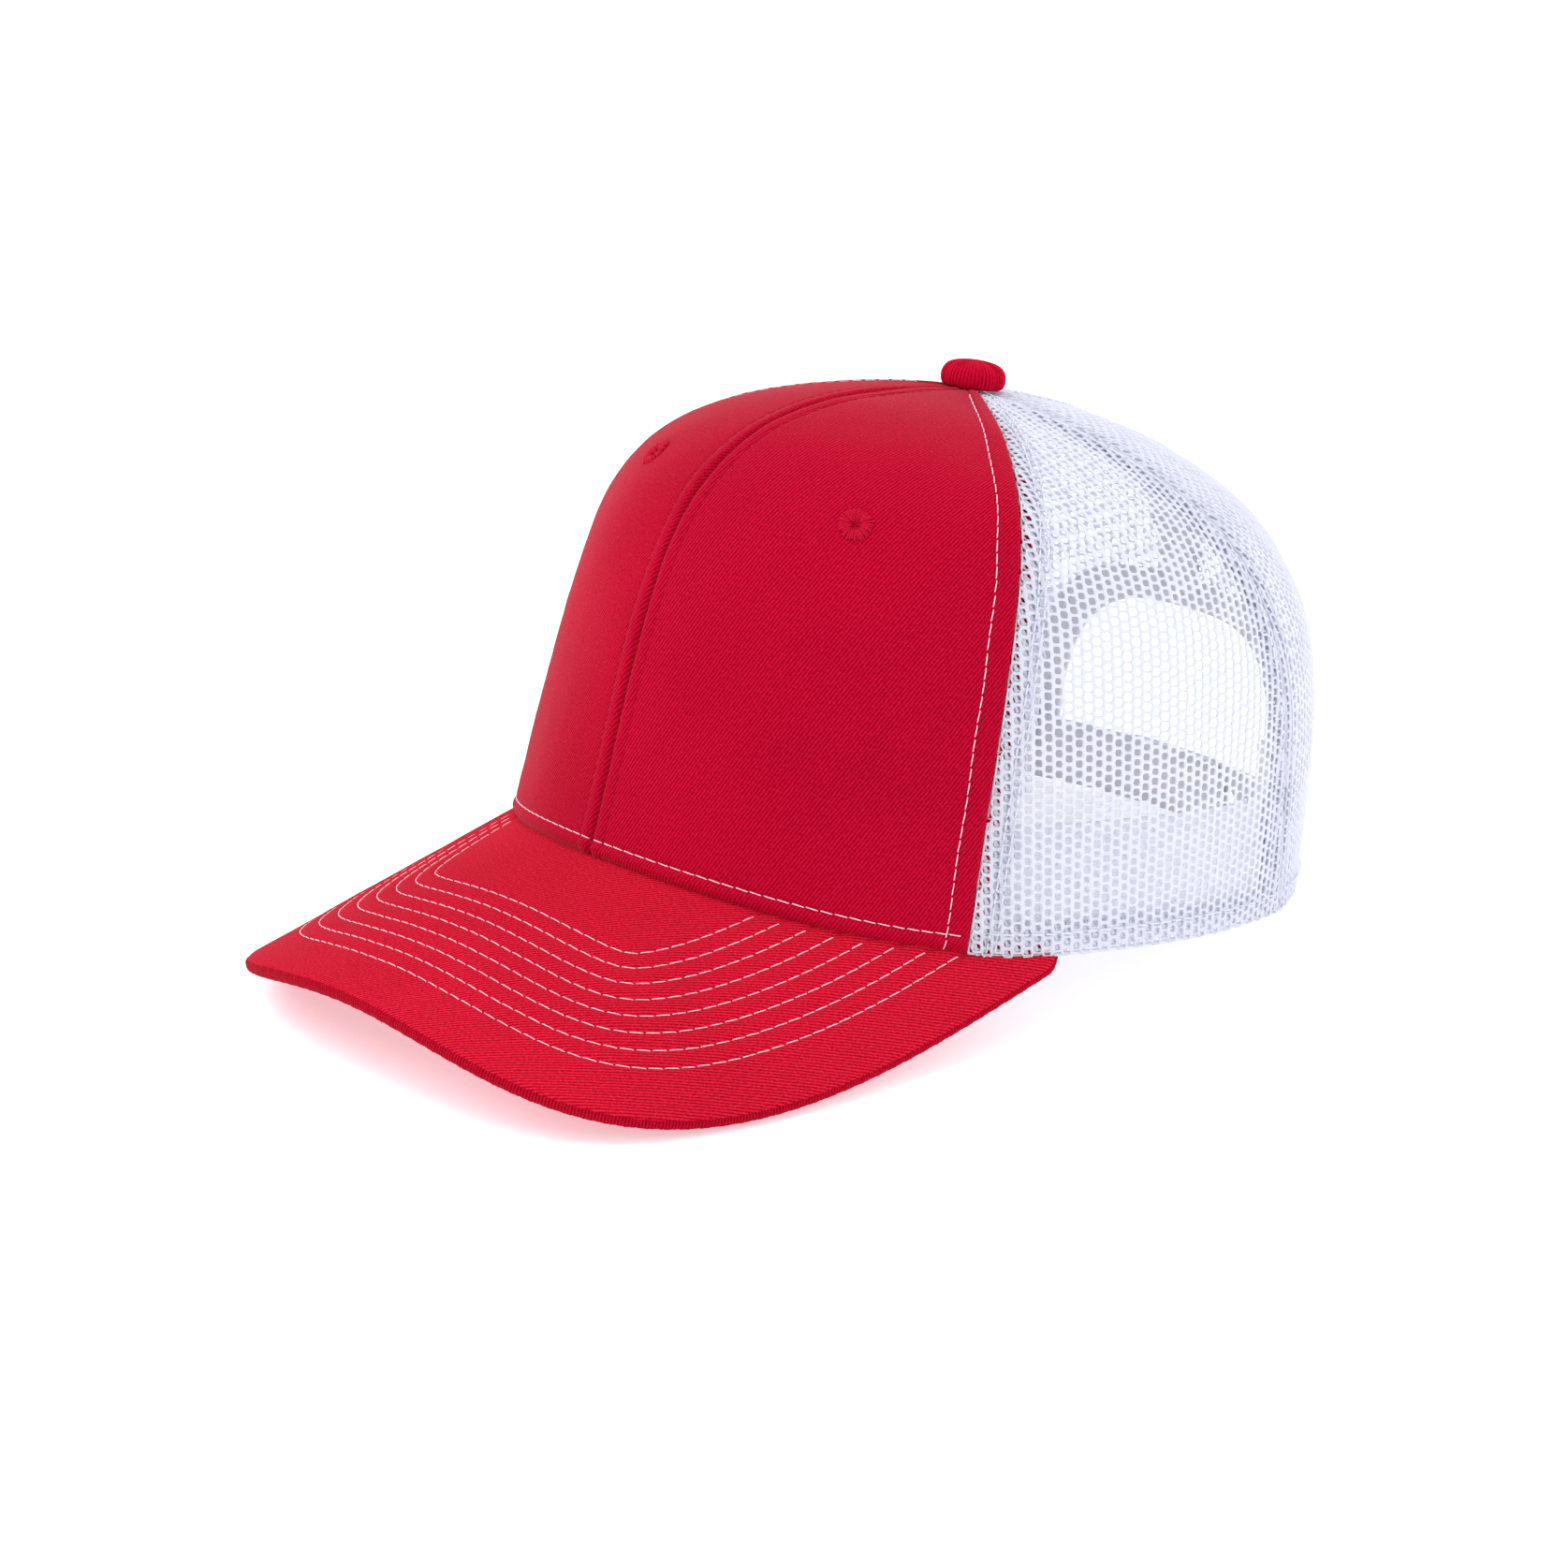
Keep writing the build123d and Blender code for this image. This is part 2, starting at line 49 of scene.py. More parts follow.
# The crown and the visor follow the formulas of the CAD model, in millimetres and degrees.
RIM_WAVES = (94.2, -1.6, 5.4, 1.25, 0.2)
CROWN_HEIGHT = 120.4
APEX_SETBACK = 3.3
BACK_RIM_HEIGHT = 11.8
TOP_FLATNESS = (6.35, 1.35, -0.4, -1.3)
SHOULDER_ROUNDNESS = (1.84, 0.26, 0.46, 0.23)
WALL_LEAN = (0.1, 0.01, 0.055, -0.05)
PROFILE_SPACING = 1.5
FRONT_SEAM = (55.9, 1.0)
BACK_SEAM = (119.0, -15.8)
VISOR_BEND_RADIUS = 124.9
VISOR_SLOPE = math.radians(22.35)
VISOR_RIDGE = 49.1
VISOR_HALF_WIDTH = 92.9
VISOR_START = 30.0
VISOR_REACH = 126.7
VISOR_SQUARENESS = 3.23
VISOR_TIP_AZIMUTH = 70.4
VISOR_THICKNESS = 3.6
ARCH_HALF_WIDTH = 37.5
ARCH_HEIGHT = 54.0
ARCH_SQUARENESS = 3.4
REST_TIP = math.radians(-10.45)
REST_SHIFT = np.array([0.0, 30.883, 5.582])
PANEL_THICKNESS = 0.9
STITCH_SLANT = 0.07
STITCH_SINK = 0.22


# ---------------------------------------------------------------- formulas

def wave(values, azimuth):
    turn = np.radians(azimuth)
    return sum(value * np.cos(step * turn) for step, value in enumerate(values))


def bell(distance, width):
    return np.exp(-(distance / width) ** 2)


def smooth_step(value, low, high):
    share = np.clip((value - low) / (high - low), 0, 1)
    return share * share * (3 - 2 * share)


def visor_height(x, y):
    sag = VISOR_BEND_RADIUS - np.sqrt(np.maximum(VISOR_BEND_RADIUS**2 - x * x, 1.0))
    return (VISOR_RIDGE - sag + y * math.sin(VISOR_SLOPE)) / math.cos(VISOR_SLOPE)


def visor_line(azimuth):
    radius = wave(RIM_WAVES, azimuth)
    turn = np.radians(azimuth)
    return visor_height(radius * np.sin(turn), -radius * np.cos(turn))


def rim_height(azimuth):
    place = np.abs((np.asarray(azimuth, float) + 180) % 360 - 180)
    on_visor = visor_line(np.minimum(place, VISOR_TIP_AZIMUTH))
    start = visor_line(VISOR_TIP_AZIMUTH)
    slope = (start - visor_line(VISOR_TIP_AZIMUTH - 0.5)) / 0.5
    span = 180 - VISOR_TIP_AZIMUTH
    t = np.clip((place - VISOR_TIP_AZIMUTH) / span, 0, 1)
    leave = (2 * t**3 - 3 * t**2 + 1) * start + (t**3 - 2 * t**2 + t) * span * slope
    behind = leave + (3 * t**2 - 2 * t**3) * BACK_RIM_HEIGHT
    return np.where(place <= VISOR_TIP_AZIMUTH, on_visor, behind)


def crown_skin(azimuth, climb):
    """Points of the crown's outer face, in the crown's own frame."""
    turn = np.radians(azimuth)
    rise = 1 - np.maximum(1 - climb, 0) ** PROFILE_SPACING
    flatness = wave(TOP_FLATNESS, azimuth)
    roundness = wave(SHOULDER_ROUNDNESS, azimuth)
    closing = np.maximum(1 - np.maximum(rise, 0) ** flatness, 0) ** (1 / roundness)
    radius = wave(RIM_WAVES, azimuth) * closing * (1 - wave(WALL_LEAN, azimuth) * rise)
    rim = rim_height(azimuth)
    return np.stack([
        radius * np.sin(turn),
        -radius * np.cos(turn) + APEX_SETBACK * rise,
        rim + (CROWN_HEIGHT - rim) * rise,
    ], -1)


def unit(vectors):
    return vectors / np.maximum(np.linalg.norm(vectors, axis=-1, keepdims=True), 1e-9)


def crown_outward(azimuth, climb):
    low = np.maximum(climb - 0.004, 0.0)
    high = np.minimum(low + 0.008, 0.999)
    across = crown_skin(azimuth + 0.4, climb) - crown_skin(azimuth - 0.4, climb)
    up = crown_skin(azimuth, high) - crown_skin(azimuth, low)
    return unit(np.cross(across, up))


def crown_point(azimuth, climb, proud=0.0):
    azimuth, climb, proud = np.broadcast_arrays(azimuth, climb, proud)
    return crown_skin(azimuth, climb) + crown_outward(azimuth, climb) * proud[..., None]


def climb_at_height(azimuth, height):
    rim = rim_height(azimuth)
    share = np.clip(height / (CROWN_HEIGHT - rim), -0.05, 1)
    return 1 - (1 - share) ** (1 / PROFILE_SPACING)


def seam_azimuth(seam, climb):
    return seam[0] + seam[1] * np.sin(np.clip(climb, 0, 1) * np.pi / 2)


def across_rate(azimuth, climb):
    """Millimetres along the crown for one degree of azimuth."""
    step = crown_skin(azimuth + 0.5, climb) - crown_skin(azimuth - 0.5, climb)
    return np.maximum(np.linalg.norm(step, axis=-1), 0.02)


def beside(azimuth, climb, offset):
    """Azimuth that lies offset millimetres to one side of a line on the crown."""
    first = azimuth + offset / across_rate(azimuth, climb)
    return azimuth + offset / across_rate((azimuth + first) / 2, climb)


def climb_at_radius(azimuth, radius):
    low = np.full(np.shape(azimuth), 0.5)
    high = np.full(np.shape(azimuth), 0.9999)
    for _ in range(30):
        middle = (low + high) / 2
        place = crown_skin(azimuth, middle)
        outside = np.hypot(place[..., 0], place[..., 1] - APEX_SETBACK) > radius
        low = np.where(outside, middle, low)
        high = np.where(outside, high, middle)
    return low


def to_row(points):
    """From the crown's frame in millimetres to the resting frame in metres."""
    points = np.asarray(points, float)
    c, s = math.cos(REST_TIP), math.sin(REST_TIP)
    x, y, z = points[..., 0], points[..., 1], points[..., 2]
    turned = np.stack([x, c * y - s * z, s * y + c * z], -1)
    return (turned + REST_SHIFT) / 1000


def turn_to_row(vectors):
    return to_row(vectors) * 1000 - REST_SHIFT


def visor_point(across, forward, depth=0.0):
    across, forward, depth = np.broadcast_arrays(across, forward, depth)
    turn = across / VISOR_BEND_RADIUS
    radius = VISOR_BEND_RADIUS - depth
    lift = VISOR_RIDGE - VISOR_BEND_RADIUS + radius * np.cos(turn)
    return np.stack([
        radius * np.sin(turn),
        -forward * math.cos(VISOR_SLOPE) - lift * math.sin(VISOR_SLOPE),
        -forward * math.sin(VISOR_SLOPE) + lift * math.cos(VISOR_SLOPE),
    ], -1)


def soft_noise(points, scale, seed):
    """A smooth random field with a mean near zero, as a sum of sines."""
    source = np.random.default_rng(seed)
    total = np.zeros(points.shape[:-1])
    for _ in range(9):
        direction = source.normal(size=3)
        direction *= (0.6 + source.random()) * 2 * np.pi / scale / np.linalg.norm(direction)
        total += np.sin(points @ direction + source.random() * 6.28)
    return total / 4.2


# ---------------------------------------------------------------- meshes

def face_outwards(mesh):
    """Turns a closed mesh so that its faces look outwards."""
    mesh.calc_loop_triangles()
    corners = np.zeros(len(mesh.loop_triangles) * 3, np.int32)
    mesh.loop_triangles.foreach_get("vertices", corners)
    places = np.zeros(len(mesh.vertices) * 3)
    mesh.vertices.foreach_get("co", places)
    a, b, c = places.reshape(-1, 3)[corners.reshape(-1, 3)].transpose(1, 0, 2)
    if (a * np.cross(b, c)).sum() < 0:
        mesh.flip_normals()


def add_mesh(name, points, faces, material, uv=None):
    mesh = bpy.data.meshes.new(name)
    corners = faces.tolist() if isinstance(faces, np.ndarray) else faces
    mesh.from_pydata(np.asarray(points, float).tolist(), [], corners)
    mesh.validate()
    if uv is not None:
        layer = mesh.uv_layers.new(name="cloth")
        loops = np.zeros(len(mesh.loops), np.int32)
        mesh.loops.foreach_get("vertex_index", loops)
        layer.data.foreach_set("uv", np.asarray(uv, np.float32)[loops].ravel())
    mesh.polygons.foreach_set("use_smooth", np.full(len(mesh.polygons), True))
    face_outwards(mesh)
    mesh.materials.append(material)
    piece = bpy.data.objects.new(name, mesh)
    bpy.context.scene.collection.objects.link(piece)
    return piece


def grid_faces(rows, columns, offset=0, flip=False):
    i, j = np.meshgrid(np.arange(rows - 1), np.arange(columns - 1), indexing="ij")
    a = offset + i * columns + j
    quads = np.stack([a, a + columns, a + columns + 1, a + 1], -1).reshape(-1, 4)
    return quads[:, ::-1] if flip else quads


def ring_quads(rows, columns):
    """Quads between rows of points whose last column joins the first."""
    i, j = np.meshgrid(np.arange(rows - 1), np.arange(columns), indexing="ij")
    after = (j + 1) % columns
    corners = [i * columns + j, i * columns + after, (i + 1) * columns + after, (i + 1) * columns + j]
    return np.stack(corners, -1).reshape(-1, 4)


def turned_over(quads):
    """The same quads facing the other way, each with the same first corner."""
    return np.roll(quads[:, ::-1], 1, 1)


def shell_piece(name, outer, inner, material, uv, flip=False):
    """A closed cloth shell from two matching grids of points in metres."""
    rows, columns = outer.shape[:2]
    count = rows * columns
    faces = [grid_faces(rows, columns, 0, flip), grid_faces(rows, columns, count, not flip)]
    index = np.arange(count).reshape(rows, columns)
    border = np.concatenate([index[0, :-1], index[:-1, -1], index[-1, :0:-1], index[:0:-1, 0]])
    after = np.roll(border, -1)
    rim = np.stack([border, after, after + count, border + count], -1)
    faces.append(rim[:, ::-1] if flip else rim)
    points = np.concatenate([outer.reshape(-1, 3), inner.reshape(-1, 3)])
    uvs = np.concatenate([uv.reshape(-1, 2)] * 2)
    return add_mesh(name, points, np.concatenate(faces), material, uvs)


def tube_mesh(path, side, up, section):
    """Points and faces of a section swept along a path; side and up are unit vectors."""
    count, sides = len(path), len(section)
    ring = path[:, None] + side[:, None] * section[None, :, :1] + up[:, None] * section[None, :, 1:]
    faces = turned_over(ring_quads(count, sides)).tolist()
    faces.append(list(range(sides)))
    faces.append(list(range((count - 1) * sides, count * sides))[::-1])
    return ring.reshape(-1, 3), faces


def add_swept(name, parts, material):
    points, faces = [], []
    total = 0
    for part_points, part_faces in parts:
        points.append(part_points)
        faces += [[index + total for index in face] for face in part_faces]
        total += len(part_points)
    return add_mesh(name, np.concatenate(points), faces, material)


def oval(wide, high, sides=8):
    angles = np.arange(sides) * 2 * np.pi / sides
    return np.stack([np.cos(angles) * wide, np.sin(angles) * high], -1)


def run_lengths(points):
    return np.concatenate([[0], np.cumsum(np.linalg.norm(np.diff(points, axis=0), axis=1))])


def resample(points, lengths, targets):
    return np.stack([np.interp(targets, lengths, points[:, axis]) for axis in range(3)], -1)


def stitch_row(path, up, thick, length, gap):
    """One row of thread stitches along a path in metres, as points and faces.

    Each stitch is a short arched length of thread whose ends dive into the cloth."""
    lengths = run_lengths(path) * 1000
    pitch = length + gap
    count = max(int(lengths[-1] / pitch), 1)
    pitch = lengths[-1] / count
    shares = np.array([0.0, 0.06, 0.16, 0.35, 0.65, 0.84, 0.94, 1.0])
    lift = np.array([-STITCH_SINK, 0.0, thick * 0.85, thick, thick, thick * 0.85, 0.0, -STITCH_SINK])
    girth = np.array([0.6, 0.85, 1.0, 1.05, 1.05, 1.0, 0.85, 0.6])
    sides = 6
    ring = oval(1.0, 1.0, sides)
    quads = ring_quads(len(shares), sides)
    points, faces = [], []
    for index in range(count):
        start = index * pitch + gap / 2 + rng.normal(0, 0.05)
        span = pitch - gap + rng.normal(0, 0.06)
        centre = resample(path, lengths, start + span * shares)
        normal = unit(resample(up, lengths, start + span * shares))
        along = unit(np.gradient(centre, axis=0))
        side = unit(np.cross(along, normal))
        lean = (shares - 0.5) * 2 * STITCH_SLANT * (1 + rng.normal(0, 0.25))
        middle = centre + side * lean[:, None] / 1000 + normal * lift[:, None] / 1000
        radius = thick * girth / 1000
        section = side[:, None] * ring[None, :, :1] + normal[:, None] * ring[None, :, 1:]
        rings = middle[:, None] + section * radius[:, None, None]
        base = len(points) * len(shares) * sides
        points.append(rings.reshape(-1, 3))
        faces += (quads + base).tolist()
        faces.append([base + k for k in range(sides)][::-1])
        faces.append([base + (len(shares) - 1) * sides + k for k in range(sides)])
    return np.concatenate(points), faces


# ---------------------------------------------------------------- materials

class Nodes:
    """Short calls for building a node tree."""

    def __init__(self, name):
        self.material = bpy.data.materials.new(name)
        self.material.use_nodes = True
        self.tree = self.material.node_tree
        self.shader = self.tree.nodes["Principled BSDF"]

    def add(self, kind, **values):
        node = self.tree.nodes.new(kind)
        for key, value in values.items():
            if key in node.inputs:
                node.inputs[key].default_value = value
            else:
                setattr(node, key, value)
        return node

    def link(self, source, target):
        self.tree.links.new(source, target)

    def maths(self, operation, first, second=None):
        node = self.add("ShaderNodeMath", operation=operation)
        for socket, value in zip(node.inputs, (first, second)):
            if value is None:
                continue
            if isinstance(value, (int, float)):
                socket.default_value = value
            else:
                self.link(value, socket)
        return node.outputs[0]

    def coordinate(self, kind="UV"):
        return self.add("ShaderNodeTexCoord").outputs[kind]

    def split(self, vector):
        node = self.add("ShaderNodeSeparateXYZ")
        self.link(vector, node.inputs[0])
        return node.outputs

    def stripes(self, vector, angle, pitch_mm, jitter=None):
        """A sine across the cloth, at an angle to its width; the coordinate is in metres."""
        x, y, _ = self.split(vector)
        turn = math.radians(angle)
        sideways = self.maths("MULTIPLY", x, -math.sin(turn))
        across = self.maths("ADD", sideways, self.maths("MULTIPLY", y, math.cos(turn)))
        phase = self.maths("MULTIPLY", across, 2000 * math.pi / pitch_mm)
        if jitter is not None:
            phase = self.maths("ADD", phase, jitter)
        return self.maths("MULTIPLY_ADD", self.maths("SINE", phase), 0.5)

    def noise(self, vector, scale, detail=3.0, roughness=0.55):
        node = self.add("ShaderNodeTexNoise", Scale=scale, Detail=detail, Roughness=roughness)
        self.link(vector, node.inputs["Vector"])
        return node.outputs["Fac"]

    def blend(self, factor, first, second):
        node = self.add("ShaderNodeMix", data_type="RGBA")
        self.link(factor, node.inputs[0])
        for socket, value in ((node.inputs[6], first), (node.inputs[7], second)):
            if isinstance(value, tuple):
                socket.default_value = (*value, 1.0)
            else:
                self.link(value, socket)
        return node.outputs[2]

    def spread(self, value, low, high, to_low=0.0, to_high=1.0):
        node = self.add("ShaderNodeMapRange")
        self.link(value, node.inputs[0])
        for socket, number in zip(list(node.inputs)[1:5], (low, high, to_low, to_high)):
            socket.default_value = number
        return node.outputs[0]

    def bump(self, height, distance, strength=1.0, before=None):
        node = self.add("ShaderNodeBump", Distance=distance, Strength=strength)
        self.link(height, node.inputs["Height"])
        if before is not None:
            self.link(before, node.inputs["Normal"])
        return node.outputs["Normal"]


def twill_material(name, body, light, angle, pitch, fuzz=0.1):
    """Cotton twill: raised diagonal ribs, each broken into short yarn floats."""
    n = Nodes(name)
    uv = n.coordinate()
    place = n.coordinate("Object")
    wander = n.maths("MULTIPLY", n.noise(uv, 260.0, 2.0), 2.2)
    ribs = n.stripes(uv, angle, pitch, wander)
    floats = n.stripes(uv, angle + 62, pitch * 0.62, n.maths("MULTIPLY", n.noise(uv, 500.0, 2.0), 5.0))
    yarn = n.maths("MULTIPLY_ADD", floats, 0.35)
    yarn.node.inputs[2].default_value = 0.65
    weave = n.maths("MULTIPLY", ribs, yarn)
    speckle = n.spread(n.noise(uv, 1500.0, 2.0), 0.35, 0.7)
    tone = n.maths("ADD", n.maths("MULTIPLY", weave, 0.62), n.maths("MULTIPLY", speckle, 0.3))
    cloud = n.spread(n.noise(place, 22.0, 2.0), 0.3, 0.7, 0.92, 1.05)
    colour = n.blend(n.spread(tone, 0.12, 0.85), body, light)
    shaded = n.add("ShaderNodeHueSaturation")
    n.link(colour, shaded.inputs["Color"])
    n.link(cloud, shaded.inputs["Value"])
    n.link(shaded.outputs[0], n.shader.inputs["Base Color"])
    n.link(n.spread(tone, 0.0, 1.0, 0.88, 0.72), n.shader.inputs["Roughness"])
    fine = n.bump(weave, 0.00012, 0.55)
    n.link(n.bump(speckle, 0.00005, 0.4, fine), n.shader.inputs["Normal"])
    n.shader.inputs["Specular IOR Level"].default_value = 0.02
    n.shader.inputs["Sheen Weight"].default_value = fuzz * 0.3
    n.shader.inputs["Sheen Roughness"].default_value = 0.35
    n.shader.inputs["Sheen Tint"].default_value = (1.0, 0.62, 0.66, 1.0)
    return n.material


def thread_material(name, colour, dark):
    """Twisted sewing thread."""
    n = Nodes(name)
    place = n.coordinate("Object")
    twist = n.noise(place, 2600.0, 1.0)
    n.link(n.blend(n.spread(twist, 0.3, 0.7), dark, colour), n.shader.inputs["Base Color"])
    n.link(n.spread(twist, 0.3, 0.7, 0.75, 0.6), n.shader.inputs["Roughness"])
    n.link(n.bump(twist, 0.00008, 0.5), n.shader.inputs["Normal"])
    n.shader.inputs["Specular IOR Level"].default_value = 0.06
    return n.material


def net_material(name, colour, shade):
    """Knitted polyester net: smooth bright yarn with a fine knit along the ribs."""
    n = Nodes(name)
    uv = n.coordinate()
    place = n.coordinate("Object")
    knit = n.stripes(uv, 0.0, 0.58, n.maths("MULTIPLY", n.noise(uv, 900.0, 1.0), 4.0))
    strands = n.stripes(uv, 90.0, 0.4, n.maths("MULTIPLY", n.noise(uv, 700.0, 1.0), 3.0))
    yarn = n.maths("ADD", n.maths("MULTIPLY", knit, 0.6), n.maths("MULTIPLY", strands, 0.4))
    cloud = n.noise(place, 60.0, 2.0)
    tone = n.maths("ADD", n.maths("MULTIPLY", yarn, 0.7), n.maths("MULTIPLY", cloud, 0.3))
    n.link(n.blend(n.spread(tone, 0.15, 0.75), shade, colour), n.shader.inputs["Base Color"])
    n.link(n.spread(yarn, 0.0, 1.0, 0.55, 0.38), n.shader.inputs["Roughness"])
    n.link(n.bump(yarn, 0.0001, 0.5), n.shader.inputs["Normal"])
    n.shader.inputs["Specular IOR Level"].default_value = 0.3
    through = n.add("ShaderNodeBsdfTranslucent", Color=(0.90, 0.91, 0.97, 1.0))
    mix = n.add("ShaderNodeMixShader")
    mix.inputs[0].default_value = 0.42
    output = n.tree.nodes["Material Output"]
    n.link(n.shader.outputs[0], mix.inputs[1])
    n.link(through.outputs[0], mix.inputs[2])
    n.link(mix.outputs[0], output.inputs["Surface"])
    return n.material


def woven_material(name, colour, shade, pitch, roughness=0.85):
    """Plain weave for tapes, sweatband and buckram."""
    n = Nodes(name)
    place = n.coordinate("UV")
    warp = n.stripes(place, 0.0, pitch, n.maths("MULTIPLY", n.noise(place, 500.0, 1.0), 2.0))
    weft = n.stripes(place, 90.0, pitch, n.maths("MULTIPLY", n.noise(place, 430.0, 1.0), 2.0))
    weave = n.maths("MAXIMUM", warp, weft)
    cloud = n.noise(n.coordinate("Object"), 35.0, 3.0)
    tone = n.maths("ADD", n.maths("MULTIPLY", weave, 0.65), n.maths("MULTIPLY", cloud, 0.35))
    n.link(n.blend(n.spread(tone, 0.2, 0.85), shade, colour), n.shader.inputs["Base Color"])
    n.link(n.spread(tone, 0.0, 1.0, roughness + 0.06, roughness - 0.1), n.shader.inputs["Roughness"])
    n.link(n.bump(weave, 0.00012, 0.6), n.shader.inputs["Normal"])
    n.shader.inputs["Specular IOR Level"].default_value = 0.25
    n.shader.inputs["Sheen Weight"].default_value = 0.15
    return n.material


def plastic_material(name, colour, shade, roughness, glow=0.3):
    """Moulded plastic with faint flow marks and handling scuffs."""
    n = Nodes(name)
    place = n.coordinate("Object")
    flow = n.noise(place, 90.0, 4.0)
    grain = n.noise(place, 1800.0, 2.0)
    n.link(n.blend(n.spread(flow, 0.3, 0.7), shade, colour), n.shader.inputs["Base Color"])
    n.link(n.spread(flow, 0.3, 0.7, roughness + 0.12, roughness), n.shader.inputs["Roughness"])
    n.link(n.bump(grain, 0.00004, 0.35), n.shader.inputs["Normal"])
    n.shader.inputs["Subsurface Weight"].default_value = glow
    n.shader.inputs["Subsurface Radius"].default_value = (1.0, 1.0, 1.0)
    n.shader.inputs["Subsurface Scale"].default_value = 0.002
    return n.material


def metal_material(name):
    n = Nodes(name)
    place = n.coordinate("Object")
    marks = n.noise(place, 700.0, 4.0)
    colour = n.blend(n.spread(marks, 0.3, 0.7), (0.42, 0.42, 0.4), (0.66, 0.66, 0.63))
    n.link(colour, n.shader.inputs["Base Color"])
    n.link(n.spread(marks, 0.3, 0.7, 0.45, 0.28), n.shader.inputs["Roughness"])
    n.link(n.bump(marks, 0.00003, 0.3), n.shader.inputs["Normal"])
    n.shader.inputs["Metallic"].default_value = 1.0
    return n.material


RED = (0.35, 0.0003, 0.011)
RED_LIGHT = (0.66, 0.005, 0.042)
MATERIALS = {
    "front": twill_material("red_twill", (0.26, 0.0001, 0.008), (0.60, 0.004, 0.040), 63.0, 0.76, 0.5),
    "visor": twill_material("red_visor_twill", (0.29, 0.0006, 0.009), (0.76, 0.017, 0.048), -52.0, 0.76),
    "under": twill_material("red_under_visor_twill", (0.50, 0.002, 0.03), (0.80, 0.012, 0.09), -52.0, 0.80),
    # The visor's edge fold gets a darker copy of the visor twill: painted shade on the edge, which faces
    # down.
    "edge": twill_material("red_visor_edge_painted_shade", (0.20, 0.0002, 0.006), (0.50, 0.005, 0.025), 90.0, 0.62),
    "button": twill_material("red_button_cloth", RED, RED_LIGHT, 90.0, 0.9),
    "red_thread": thread_material("red_thread", (0.54, 0.004, 0.032), (0.36, 0.001, 0.014)),
    "white_thread": thread_material("white_thread", (0.93, 0.74, 0.80), (0.78, 0.50, 0.58)),
    "net": net_material("white_net", (0.84, 0.85, 0.915), (0.745, 0.755, 0.84)),
    # The tape is grey, darker than the white sweatband: painted shade from inside the cap.
    "tape": woven_material("white_tape", (0.76, 0.77, 0.81), (0.58, 0.59, 0.65), 0.5),
    "band": woven_material("sweatband_cotton", (0.94, 0.94, 0.97), (0.82, 0.83, 0.88), 0.45),
    "buckram": woven_material("buckram_weave", (0.86, 0.85, 0.82), (0.60, 0.59, 0.56), 0.9),
    # The strap plastic is grey, darker than white plastic: painted shade from inside the cap.
    "strap": plastic_material("strap_plastic", (0.66, 0.67, 0.71), (0.57, 0.58, 0.63), 0.35, 0.1),
    "board": plastic_material("visor_board_plastic", (0.80, 0.80, 0.77), (0.70, 0.70, 0.67), 0.5),
    "metal": metal_material("button_steel"),
}


# ---------------------------------------------------------------- pieces and their cloth

def finish_piece(piece, body, slot, *replaced):
    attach(piece, body)
    if replaced:
        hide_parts(*replaced)
    return piece


def half_surface(piece):
    return sum(face.area for face in piece.data.polygons) / 2


def declare_cloth(piece, area=None):
    """Works out the area of a cloth piece: area, if given, is its cut area, else half the piece's surface.
    Nothing more is done with it.
    """
    area = half_surface(piece) if area is None else area


def mirrored(points, side):
    return points * np.array([side, 1.0, 1.0])


def crown_line(azimuth, climb, proud, side=1):
    """A path on the crown in metres, with its outward directions."""
    path = to_row(mirrored(crown_point(azimuth, climb, proud), side))
    return path, turn_to_row(mirrored(crown_outward(azimuth, climb), side))


# ---------------------------------------------------------------- front panels

EYELETS = {"left": (29.0, 0.637), "right": (-19.0, 0.676)}
EYELET_DIMPLE = 0.7
EYELET_STRANDS = 36
TOPSTITCH = 5.3
HEM_STITCH = 4.4


def front_relief(side, azimuth, climb):
    """How far the front cloth stands off the smooth crown, in millimetres."""
    rate = across_rate(azimuth, climb)
    skin = crown_skin(azimuth, climb)
    from_centre = azimuth * rate
    from_edge = (seam_azimuth(FRONT_SEAM, climb) - azimuth) * rate
    height = skin[..., 2] - rim_height(azimuth)
    proud = -0.95 * bell(from_centre, 0.7)
    proud = proud + 0.30 * np.sin(np.clip(from_centre / 4.0, 0, 1) * np.pi)
    proud = proud - 0.10 * bell(from_centre - 4.0, 0.45)
    proud = proud + 0.55 * smooth_step(from_edge, 9.0, 2.0)
    edge_turn = 1 - np.clip(from_edge / 0.9, 0, 1)
    proud = proud - 1.1 * (1 - np.sqrt(np.clip(1 - edge_turn**2, 0, 1)))
    proud = proud - 0.32 * bell(from_edge - TOPSTITCH, 0.5)
    proud = proud - 0.34 * bell(height - HEM_STITCH, 0.55) * smooth_step(from_edge, 0.5, 2.5)
    proud = proud + 0.25 * np.sin(np.clip(height / HEM_STITCH, 0, 1) * np.pi)
    proud = proud - 1.9 * smooth_step(height, 2.6, -0.5)
    seed = 3 if side > 0 else 4
    return proud + 0.20 * soft_noise(skin, 30.0, seed) + 0.05 * soft_noise(skin, 8.0, seed + 5)


def seam_grid(first, last, climbs, near_first, near_last, middle_count):
    """Azimuths (row, column) whose outer columns run at fixed distances from the two seams."""
    left = seam_azimuth(first, climbs)
    right = seam_azimuth(last, climbs)
    width = (right - left) * across_rate((left + right) / 2, climbs)
    squeeze = np.minimum(1.0, width / 2 / (max(near_first[-1], near_last[-1]) + 2))
    columns = [beside(left, climbs, distance * squeeze) for distance in near_first]
    closing = [beside(right, climbs, -distance * squeeze) for distance in near_last]
    for share in np.linspace(0, 1, middle_count)[1:-1]:
        columns.append(columns[len(near_first) - 1] * (1 - share) + closing[-1] * share)
    return np.stack(columns + closing[::-1], 1)


def flat_lengths(grid):
    run = np.linalg.norm(np.diff(grid, axis=0), axis=2).cumsum(0)
    return np.concatenate([run[:1] * 0, run])


